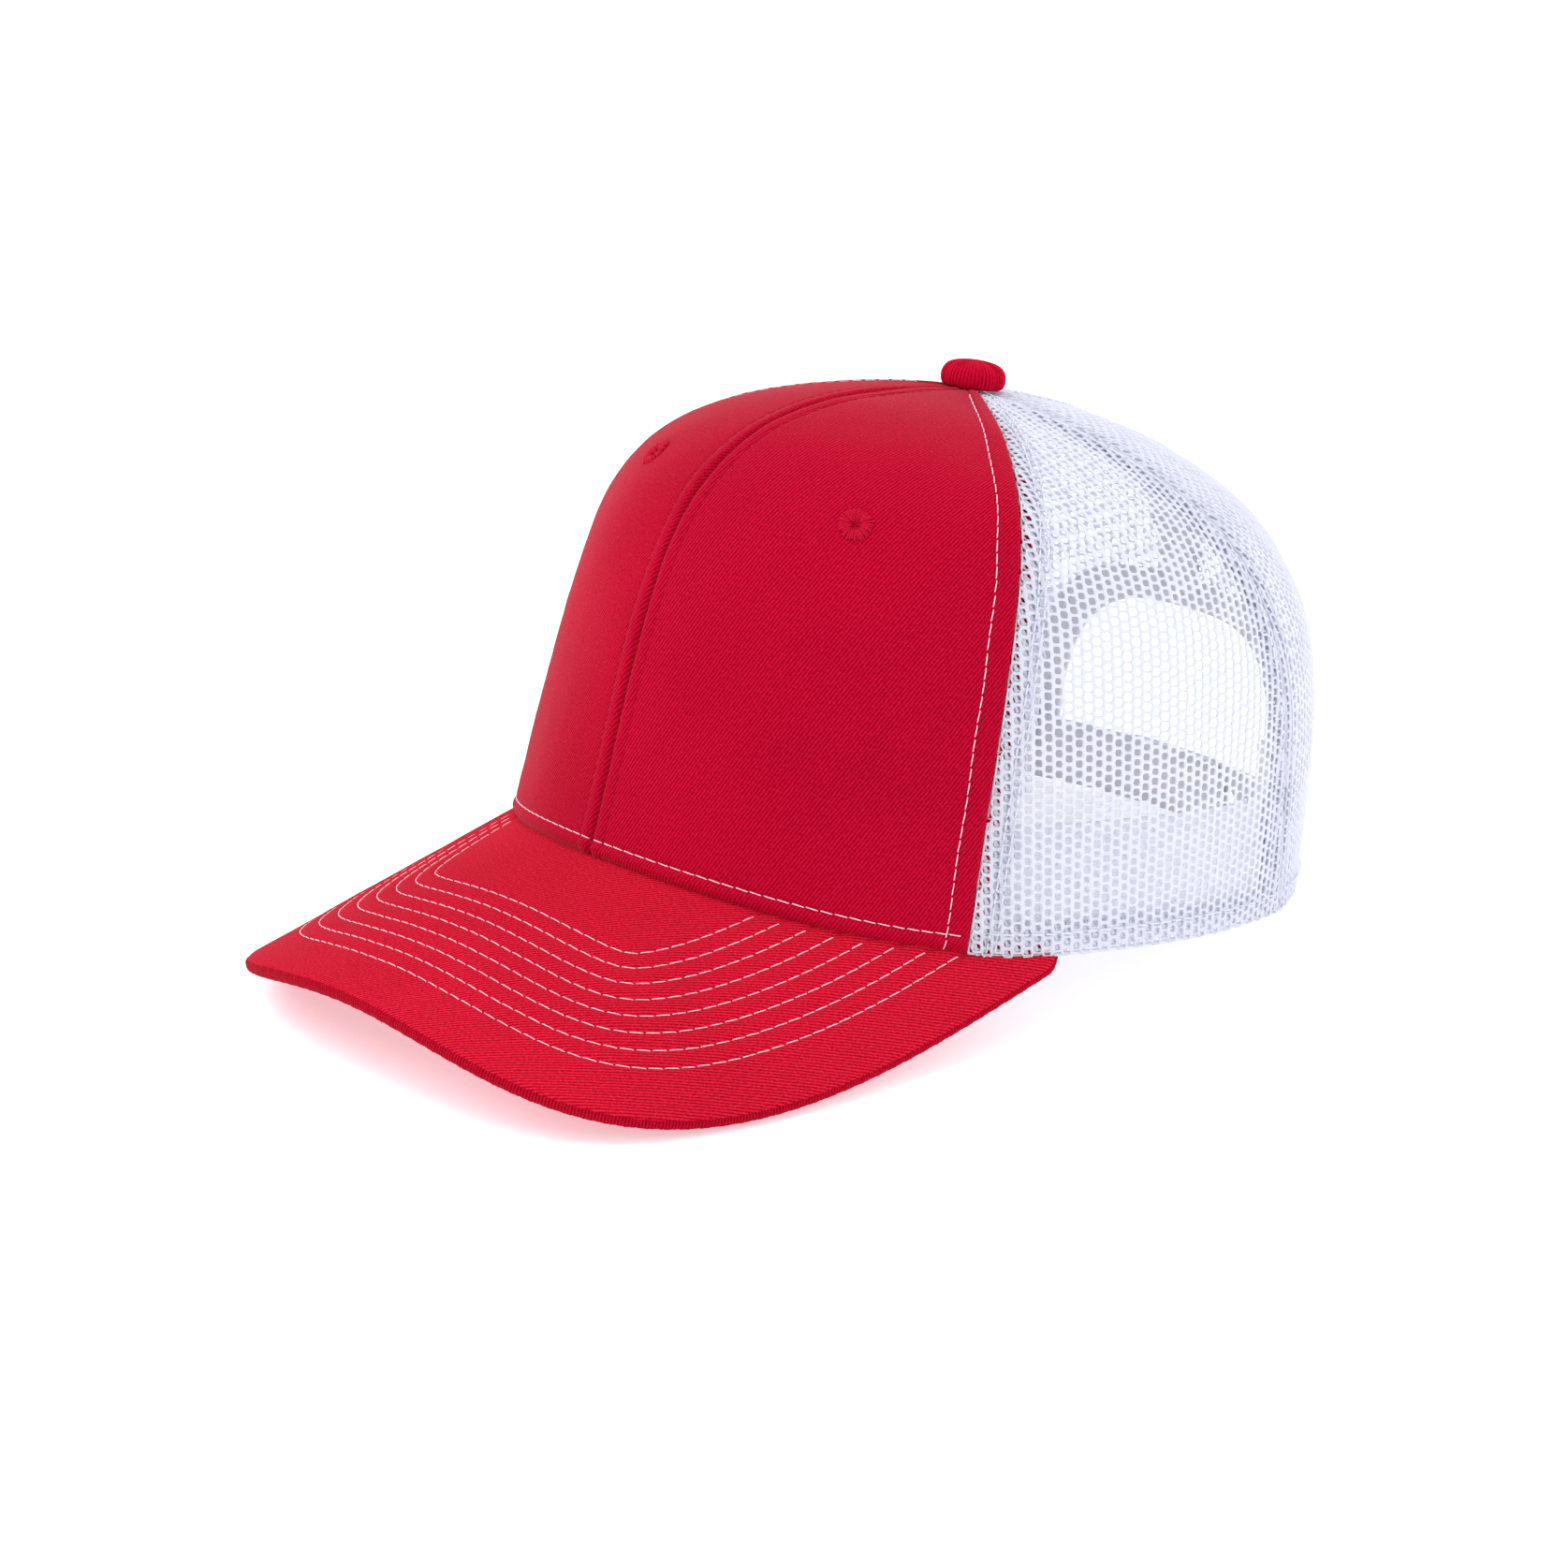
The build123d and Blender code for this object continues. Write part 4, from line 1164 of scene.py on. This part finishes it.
def visor_top():
    flat, edge = visor_grid(134, 250, EDGE_ROUND)
    relief = visor_relief(flat)
    outer = [visor_point(flat[..., 0], flat[..., 1], -relief)]
    inner = [visor_point(flat[..., 0], flat[..., 1], VISOR_CLOTH)]
    uv = [flat]
    normal = outline_normal(edge)
    for angle in np.radians(np.array([12, 24, 36, 48, 60, 72, 84, 96, 108, 120, 132, 146, 160])):
        for grid, radius in ((outer, EDGE_ROUND), (inner, EDGE_ROUND - VISOR_CLOTH)):
            spot = edge + normal * radius * math.sin(angle)
            depth = EDGE_ROUND - radius * math.cos(angle)
            grid.append(visor_point(spot[:, 0], spot[:, 1], np.full(len(spot), depth))[None])
        uv.append((edge + normal * EDGE_ROUND * angle)[None])
    uv = np.concatenate(uv) / 1000
    return shell_piece(
        "visor_top_cloth", to_row(np.concatenate(outer)), to_row(np.concatenate(inner)),
        MATERIALS["visor"], uv, flip=True,
    )


def visor_edge_fold():
    """The cloth drawn round the visor's edge, with the fine ribs of its tight fold. Its twill is a darker
    copy of the visor's: painted shade on the edge, which faces down.
    """
    edge = even_curve(OUTLINE, 640)
    normal = outline_normal(edge)
    centre = edge - normal * EDGE_ROUND
    angles = np.radians(np.linspace(34, 176, 20))
    along = np.arange(640) * 330 / 640
    pucker = 0.05 * np.sin(along * 2 * np.pi / 1.3) + 0.05 * np.sin(along * 2 * np.pi / 3.7 + 1)
    layers = []
    for radius in (EDGE_ROUND + 0.22, EDGE_ROUND - 0.5):
        rows = []
        for angle in angles:
            lift = (radius + pucker * (radius > EDGE_ROUND)) - 0.3 * bell(angle - angles[0], 0.12)
            lift = lift - 0.3 * bell(angle - angles[-1], 0.12)
            spot = centre + normal * (lift * math.sin(angle))[:, None]
            rows.append(visor_point(spot[:, 0], spot[:, 1], EDGE_ROUND - lift * math.cos(angle)))
        layers.append(to_row(np.stack(rows)))
    uv = np.stack(np.broadcast_arrays(along[None], (angles * EDGE_ROUND)[:, None]), -1) / 1000
    return shell_piece("visor_edge_fold", layers[0], layers[1], MATERIALS["edge"], uv)


def visor_edge_row():
    """Closing stitches under the visor's edge."""
    edge = even_curve(OUTLINE, 700)[12:-12]
    normal = outline_normal(edge)
    radius = EDGE_ROUND + 0.25
    angle = math.radians(158)
    centre = edge - normal * EDGE_ROUND
    spot = centre + normal * radius * math.sin(angle)
    outer = centre + normal * (radius + 3) * math.sin(angle)
    path = visor_point(spot[:, 0], spot[:, 1], EDGE_ROUND - radius * math.cos(angle))
    away = visor_point(outer[:, 0], outer[:, 1], EDGE_ROUND - (radius + 3) * math.cos(angle))
    return to_row(path), turn_to_row(unit(away - path))


def visor_under():
    flat, edge = visor_grid(110, 220, 1.55)
    relief = visor_relief(flat)
    outer = visor_point(flat[..., 0], flat[..., 1], VISOR_THICKNESS + relief)
    inner = visor_point(flat[..., 0], flat[..., 1], VISOR_THICKNESS - VISOR_CLOTH)
    return shell_piece("visor_under_cloth", to_row(outer), to_row(inner), MATERIALS["under"], flat / 1000)


def visor_rows(depth_sign):
    """Paths of the stitch rows, at fixed distances from the visor's outline."""
    normal = outline_normal(OUTLINE)
    rows = []
    for offset in ROW_OFFSETS:
        path = OUTLINE - normal * offset
        clear = outline_distance(path) > offset - 0.06
        crown = np.interp(path[:, 0], CROWN_EDGE[::-1, 0], CROWN_EDGE[::-1, 1])
        clear &= path[:, 1] > crown + 1.0
        clear &= np.abs(path[:, 0]) < np.abs(CROWN_EDGE[:, 0]).max() + 9
        path = even_curve(path[clear], 400)
        path = path + np.stack([np.sin(path[:, 1] / 9), np.cos(path[:, 0] / 11)], -1) * 0.09
        relief = visor_relief(path)
        if depth_sign > 0:
            spots = visor_point(path[:, 0], path[:, 1], -relief - 0.04)
        else:
            spots = visor_point(path[:, 0], path[:, 1], VISOR_THICKNESS + relief + 0.04)
        above = visor_point(path[:, 0], path[:, 1], -5.0)
        up = unit(above - visor_point(path[:, 0], path[:, 1], 0.0)) * depth_sign
        rows.append((to_row(spots), turn_to_row(up)))
    return rows


top = finish_piece(visor_top(), "cap", "red_visor_cloth", "visor_top_cover")
declare_cloth(top)
under = finish_piece(visor_under(), "cap", "red_visor_cloth", "visor_under_cover")
declare_cloth(under)
for name, face in (("visor_stitches_top", 1), ("visor_stitches_under", -1)):
    add_stitches(
        name, visor_rows(face), MATERIALS["white_thread"], "white_tape", thick=0.115, length=3.3, gap=0.26,
    )
finish_piece(visor_edge_fold(), "cap", "red_visor_cloth")
add_stitches(
    "visor_edge_stitches", [visor_edge_row()], MATERIALS["white_thread"], "white_tape",
    thick=0.10, length=1.2, gap=0.5,
)


# ---------------------------------------------------------------- button and eyelets

def button_cloth():
    profile = np.array([
        (5.6, 0.15), (6.62, 0.15), (7.3, 0.5), (7.68, 1.35), (7.8, 2.3), (7.72, 3.3), (7.35, 4.35),
        (6.7, 5.25), (5.7, 5.85), (4.3, 6.25), (2.8, 6.5), (1.4, 6.62), (0.25, 6.65),
    ])
    run = np.concatenate([[0], np.cumsum(np.hypot(*np.diff(profile, axis=0).T))])
    steps = np.linspace(0, run[-1], 40)
    radius = np.interp(steps, run, profile[:, 0])
    height = np.interp(steps, run, profile[:, 1])
    for _ in range(2):
        radius[1:-1] = (radius[:-2] + 2 * radius[1:-1] + radius[2:]) / 4
        height[1:-1] = (height[:-2] + 2 * height[1:-1] + height[2:]) / 4
    turns = np.linspace(0, 2 * np.pi, 353)[:-1]
    folds = np.abs(np.sin(turns * 22 + 0.5 * np.sin(turns * 5)))[None]
    fold_depth = 0.20 * smooth_step(radius, 1.0, 6.0)[:, None]
    layers = []
    for inset in (0.0, 0.45):
        r = np.maximum(radius[:, None] - inset - fold_depth * (1 - folds), 0.1)
        z = height[:, None] - (inset * smooth_step(height, 1.0, 5.5))[:, None] + 0 * turns
        z = z - fold_depth * (1 - folds) * smooth_step(height, 3.5, 6.0)[:, None]
        grid = np.stack([r * np.cos(turns), r * np.sin(turns) + APEX_SETBACK, z + CROWN_HEIGHT], -1)
        layers.append(to_row(grid).reshape(-1, 3))
    rows, columns = len(steps), len(turns)
    quads = ring_quads(rows, columns)
    total = rows * columns
    faces = quads.tolist() + (quads[:, ::-1] + total).tolist()
    ring = np.arange(columns)
    step = (ring + 1) % columns
    faces += np.stack([ring, ring + total, step + total, step], -1).tolist()
    last = (rows - 1) * columns
    faces += [(ring + last).tolist(), (ring + last + total)[::-1].tolist()]
    uv = np.stack(np.broadcast_arrays(turns[None] * 7.7, steps[:, None]), -1).reshape(-1, 2) / 1000
    uv = np.concatenate([uv, uv])
    return add_mesh("button_cloth", np.concatenate(layers), faces, MATERIALS["button"], uv)


cloth = finish_piece(button_cloth(), "cap", "red_button_cloth", "button_cover")
declare_cloth(cloth)


def eyelet_piece(name, azimuth, climb, seed):
    """Close buttonhole stitches that run down into a dimple in the cloth."""
    source = np.random.default_rng(seed)
    centre, across, up, out = eyelet_frame(azimuth, climb)
    parts = []
    faces = ring_quads(8, 6).tolist() + [[1, 2, 3, 4, 5, 0], list(range(42, 48))]
    for index in range(EYELET_STRANDS):
        turn = 2 * np.pi * (index + source.normal(0, 0.12)) / EYELET_STRANDS
        ray = across * math.cos(turn) + up * math.sin(turn)
        tangent = np.cross(out, ray)
        reach = 3.95 + source.normal(0, 0.16)
        radii = np.array([0.30, 0.55, 0.95, 1.55, 2.35, 3.1, reach - 0.25, reach])
        lift = np.array([-0.85, -0.6, -0.25, 0.12, 0.36, 0.34, 0.10, -0.3])
        lift[:3] += 0.5 * (index % 7 == 0) + 0.08 * source.normal()
        path = centre + ray * radii[:, None] + out * lift[:, None] + tangent * source.normal(0, 0.05)
        girth = np.array([0.10, 0.11, 0.14, 0.18, 0.25, 0.31, 0.33, 0.25])
        along = unit(np.gradient(path, axis=0))
        high = unit(np.cross(along, tangent))
        ring = oval(1.0, 0.62, 6)
        section = tangent[None, None] * ring[None, :, :1] + high[:, None] * ring[None, :, 1:]
        points = to_row(path[:, None] + section * girth[:, None, None]).reshape(-1, 3)
        parts.append((points, faces))
    return add_swept(name, parts, MATERIALS["red_thread"])


for (label, place), seed in zip(EYELETS.items(), (61, 62)):
    stitches = eyelet_piece("eyelet_stitches_" + label, *place, seed)
    finish_piece(stitches, "cap", "red_thread", "eyelet_" + label)


# ---------------------------------------------------------------- snap strap

STRAP_LOW, STRAP_HIGH = 0.9, 17.3
SNAP_PITCH = 4.4


def strap_surface(azimuth, height, proud, side):
    climb = climb_at_height(azimuth, height)
    return to_row(mirrored(crown_point(azimuth, climb, proud), side))


STRAP_HALF = (STRAP_HIGH - STRAP_LOW) / 2
STRAP_MIDDLE = (STRAP_HIGH + STRAP_LOW) / 2
STRAP_RATE = float(across_rate(np.array([180.0]), np.array([0.05]))[0])
STRAP_END_ROUND = 7.0
STRAP_PLASTIC = 1.2
SNAP_HOLE_RADIUS = 2.1
PEG_SIDES = 20
STRAP_TIP = 180 + SNAP_PITCH * 2.75
STRAP_ROOT_X, STRAP_ROOT_HEIGHT = 45.2, 8.6
STRAP_BEND_X, STRAP_BEND_HEIGHT = (38.5, 31.5), 9.1
CELL_CORNER = math.atan2(STRAP_HALF, SNAP_PITCH / 2 * STRAP_RATE)
CELL_TURNS = np.linspace(-CELL_CORNER, CELL_CORNER, 9)
CELL_SHARES = np.tan(CELL_TURNS) / math.tan(CELL_CORNER)


def strap_half_height(azimuth, end):
    """Half the strap's height, which shrinks to a rounded tip at its end."""
    left = np.clip((end - azimuth) * STRAP_RATE, 0, STRAP_END_ROUND)
    return STRAP_HALF - STRAP_END_ROUND + np.sqrt(STRAP_END_ROUND**2 - (STRAP_END_ROUND - left) ** 2)


def strap_cell(middle, hole, end, rings=5):
    """Matching rings from a snap hole's edge out to the border of its cell."""
    across = np.linspace(CELL_CORNER, math.pi - CELL_CORNER, 7)
    turns = np.concatenate([CELL_TURNS[:-1], across[:-1], CELL_TURNS[:-1] + math.pi, across[:-1] + math.pi])
    c, s = np.cos(turns), np.sin(turns)
    half_wide = SNAP_PITCH / 2 * STRAP_RATE
    reach = np.minimum(half_wide / np.maximum(np.abs(c), 1e-9), STRAP_HALF / np.maximum(np.abs(s), 1e-9))
    border = middle + reach * c / STRAP_RATE
    height = reach * s / STRAP_HALF * strap_half_height(border, end)
    shares = np.linspace(0, 1, rings)[:, None]
    azimuth = (middle + hole * c / STRAP_RATE) * (1 - shares) + border * shares
    return azimuth, STRAP_MIDDLE + hole * s * (1 - shares) + height * shares


def strap_mesh(start, end, depth, side, holes):
    """Points and faces of a strap with a rounded tip; holes is a list of azimuths."""
    points, faces = [], []

    def emit(azimuth, height, quads):
        base = sum(len(part) for part in points)
        layers = [
            strap_surface(azimuth, height, -depth - deep, side).reshape(-1, 3)
            for deep in (0.0, STRAP_PLASTIC)
        ]
        points.append(np.concatenate(layers))
        outer, inner = (quads[:, ::-1], quads) if side > 0 else (quads, quads[:, ::-1])
        faces.extend((outer + base).tolist())
        faces.extend((inner + base + azimuth.size).tolist())
        return base, azimuth.size

    def wall(chain, base, count):
        quads = np.stack([chain[:-1], chain[1:], chain[1:] + count, chain[:-1] + count], -1)
        faces.extend((quads + base).tolist())

    def plain(low, high):
        columns, rows = max(int((high - low) / 0.35), 3), len(CELL_SHARES)
        azimuth = np.repeat(np.linspace(low, high, columns)[:, None], rows, 1)
        if high == end:
            azimuth = low + (high - low) * np.sin(np.linspace(0, np.pi / 2, columns))[:, None] + 0 * azimuth
        height = STRAP_MIDDLE + CELL_SHARES * strap_half_height(azimuth, end)
        base, count = emit(azimuth, height, grid_faces(columns, rows))
        index = np.arange(columns * rows).reshape(columns, rows)
        wall(index[:, 0], base, count)
        wall(index[::-1, -1], base, count)
        if high == end:
            wall(index[-1], base, count)
        if low == start:
            wall(index[0, ::-1], base, count)

    edge = start
    for centre in sorted(holes):
        if centre - SNAP_PITCH / 2 > edge + 0.05:
            plain(edge, centre - SNAP_PITCH / 2)
        azimuth, height = strap_cell(centre, SNAP_HOLE_RADIUS, end)
        rings, sides = azimuth.shape
        base, count = emit(azimuth, height, turned_over(ring_quads(rings, sides)))
        wall(np.append(np.arange(sides), 0), base, count)
        rim = (rings - 1) * sides + np.append(np.arange(sides), 0)[::-1]
        wall(rim[:7], base, count)
        wall(rim[14:21], base, count)
        edge = centre + SNAP_PITCH / 2
    plain(edge, end)
    return np.concatenate(points), faces


def weld(piece, gap=2e-6):
    """Join points that lie on each other, and turn every face outwards."""
    mesh = bmesh.new()
    mesh.from_mesh(piece.data)
    bmesh.ops.remove_doubles(mesh, verts=mesh.verts, dist=gap)
    bmesh.ops.recalc_face_normals(mesh, faces=mesh.faces)
    mesh.to_mesh(piece.data)
    mesh.free()


def strap_pegs(azimuths, depth, side):
    profile = np.array([
        (1.3, -0.2), (1.15, 0.2), (1.1, 1.2), (1.1, 1.6),
        (1.35, 1.75), (1.35, 1.95), (1.1, 2.15), (0.5, 2.25),
    ])
    last = (len(profile) - 1) * PEG_SIDES
    faces = ring_quads(len(profile), PEG_SIDES).tolist()
    faces += [list(range(PEG_SIDES))[::-1], list(range(last, last + PEG_SIDES))]
    parts = []
    for azimuth in azimuths:
        middle = np.array([azimuth])
        climb = climb_at_height(middle, STRAP_MIDDLE)
        centre = mirrored(crown_point(middle, climb, -depth)[0], side)
        out = mirrored(crown_outward(middle, climb)[0], side)
        across = unit(np.cross(np.array([0.0, 0.0, 1.0]), out))
        up = np.cross(out, across)
        turns = np.arange(PEG_SIDES) * 2 * np.pi / PEG_SIDES
        ray = across * np.cos(turns)[:, None] + up * np.sin(turns)[:, None]
        grid = centre + ray[None] * profile[:, :1, None] + out * profile[:, 1:, None]
        parts.append((to_row(grid).reshape(-1, 3), faces))
    return parts


def strap_piece(name, depth, side, tip, holes, pegs, replaced):
    root = float(wall_place(np.array([STRAP_ROOT_X]), np.array([STRAP_ROOT_HEIGHT]))[0][0])
    parts = [strap_mesh(root, tip, depth, side, holes)]
    parts += strap_pegs(pegs, depth, side)
    strap = add_swept(name, parts, MATERIALS["strap"])
    weld(strap)
    height = np.array([STRAP_BEND_HEIGHT])
    for x in STRAP_BEND_X:
        azimuth = wall_place(np.array([x]), height)[0]
        strap_surface(azimuth, height, np.array([-depth - STRAP_PLASTIC / 2]), side)[0]
    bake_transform(strap)
    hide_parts(*replaced)
    return strap


hole_places = [180 + SNAP_PITCH * step for step in range(-4, 3)]
peg_places = [180 - SNAP_PITCH * step for step in range(-2, 5)]
strap_piece(
    "hole_strap_plastic", 2.0, 1, STRAP_TIP, hole_places, [], ("hole_strap", "hole_strap_tab"),
)
strap_piece(
    "peg_strap_plastic", 3.55, -1, STRAP_TIP, [], peg_places, ("peg_strap", "peg_strap_tab"),
)

for name, material in (("visor_board", "board"), ("button_core", "board"), ("button_rivet", "metal")):
    part = bpy.data.objects[name]
    part.data.materials.clear()
    part.data.materials.append(MATERIALS[material])


# ---------------------------------------------------------------- stage, light and camera

# Ellipse of painted shade on the floor under the cap, in metres.
SHADE_HALF_WIDTH = 0.060
SHADE_HALF_LENGTH = 0.072
SHADE_CENTRE = (-0.018, 0.052)


def make_stage():
    mesh = bpy.data.meshes.new("floor")
    size = 6.0
    corners = [(-size, -size, 0), (size, -size, 0), (size, size, 0), (-size, size, 0)]
    mesh.from_pydata(corners, [], [(0, 1, 2, 3)])
    floor = bpy.data.objects.new("floor", mesh)
    bpy.context.scene.collection.objects.link(floor)
    n = Nodes("floor_paper")
    grain = n.noise(n.coordinate("Object"), 8.0, 2.0)
    n.link(n.blend(grain, (0.93, 0.93, 0.935), (0.95, 0.95, 0.95)), n.shader.inputs["Base Color"])
    n.shader.inputs["Roughness"].default_value = 0.9
    n.shader.inputs["Specular IOR Level"].default_value = 0.1
    # The floor paper glows, which is painted light. The glow fades to nothing in the ellipse under the cap,
    # which is painted shade.
    n.shader.inputs["Emission Color"].default_value = (0.97, 0.97, 1.0, 1.0)
    across, along, _ = n.split(n.coordinate("Object"))
    across = n.maths("DIVIDE", n.maths("SUBTRACT", across, SHADE_CENTRE[0]), SHADE_HALF_WIDTH)
    along = n.maths("DIVIDE", n.maths("SUBTRACT", along, SHADE_CENTRE[1]), SHADE_HALF_LENGTH)
    across = n.maths("MULTIPLY", across, across)
    along = n.maths("MULTIPLY", along, along)
    glow = n.spread(n.maths("ADD", across, along), 0.4, 1.3, 0.0, 0.38)
    n.link(glow, n.shader.inputs["Emission Strength"])
    mesh.materials.append(n.material)


def add_light(name, place, target, size, power, colour=(1, 1, 1)):
    data = bpy.data.lights.new(name, "AREA")
    data.shape = "DISK"
    data.size = size
    data.energy = power
    data.color = colour
    lamp = bpy.data.objects.new(name, data)
    bpy.context.scene.collection.objects.link(lamp)
    lamp.location = place
    direction = np.array(target, float) - np.array(place, float)
    lamp.rotation_euler = Vector(direction).to_track_quat("-Z", "Y").to_euler()


def make_light():
    world = bpy.data.worlds.new("studio")
    world.use_nodes = True
    background = world.node_tree.nodes["Background"]
    background.inputs[0].default_value = (0.96, 0.97, 1.0, 1.0)
    background.inputs[1].default_value = 0.95
    bpy.context.scene.world = world
    add_light("key", (-1.5, -1.3, 1.9), (0, 0, 0.05), 1.6, 30.0)
    add_light("fill", (1.8, -0.6, 1.0), (0, 0, 0.08), 1.8, 5.0)
    add_light("top", (-0.2, -0.5, 2.4), (0, 0, 0.05), 1.8, 14.0)
    add_light("back", (1.0, 2.0, 0.8), (0, 0, 0.06), 1.8, 17.0)
    bpy.context.scene.view_settings.view_transform = "Standard"


def make_camera():
    data = bpy.data.cameras.new("camera")
    data.lens = 100.0
    data.sensor_width = 36.0
    data.clip_end = 50
    camera = bpy.data.objects.new("camera", data)
    bpy.context.scene.collection.objects.link(camera)
    camera.location = (0.7179, -0.6447, 0.3745)
    camera.rotation_euler = [math.radians(value) for value in (70.757, 0.573, 48.088)]
    bpy.context.scene.camera = camera


make_stage()
make_light()
make_camera()
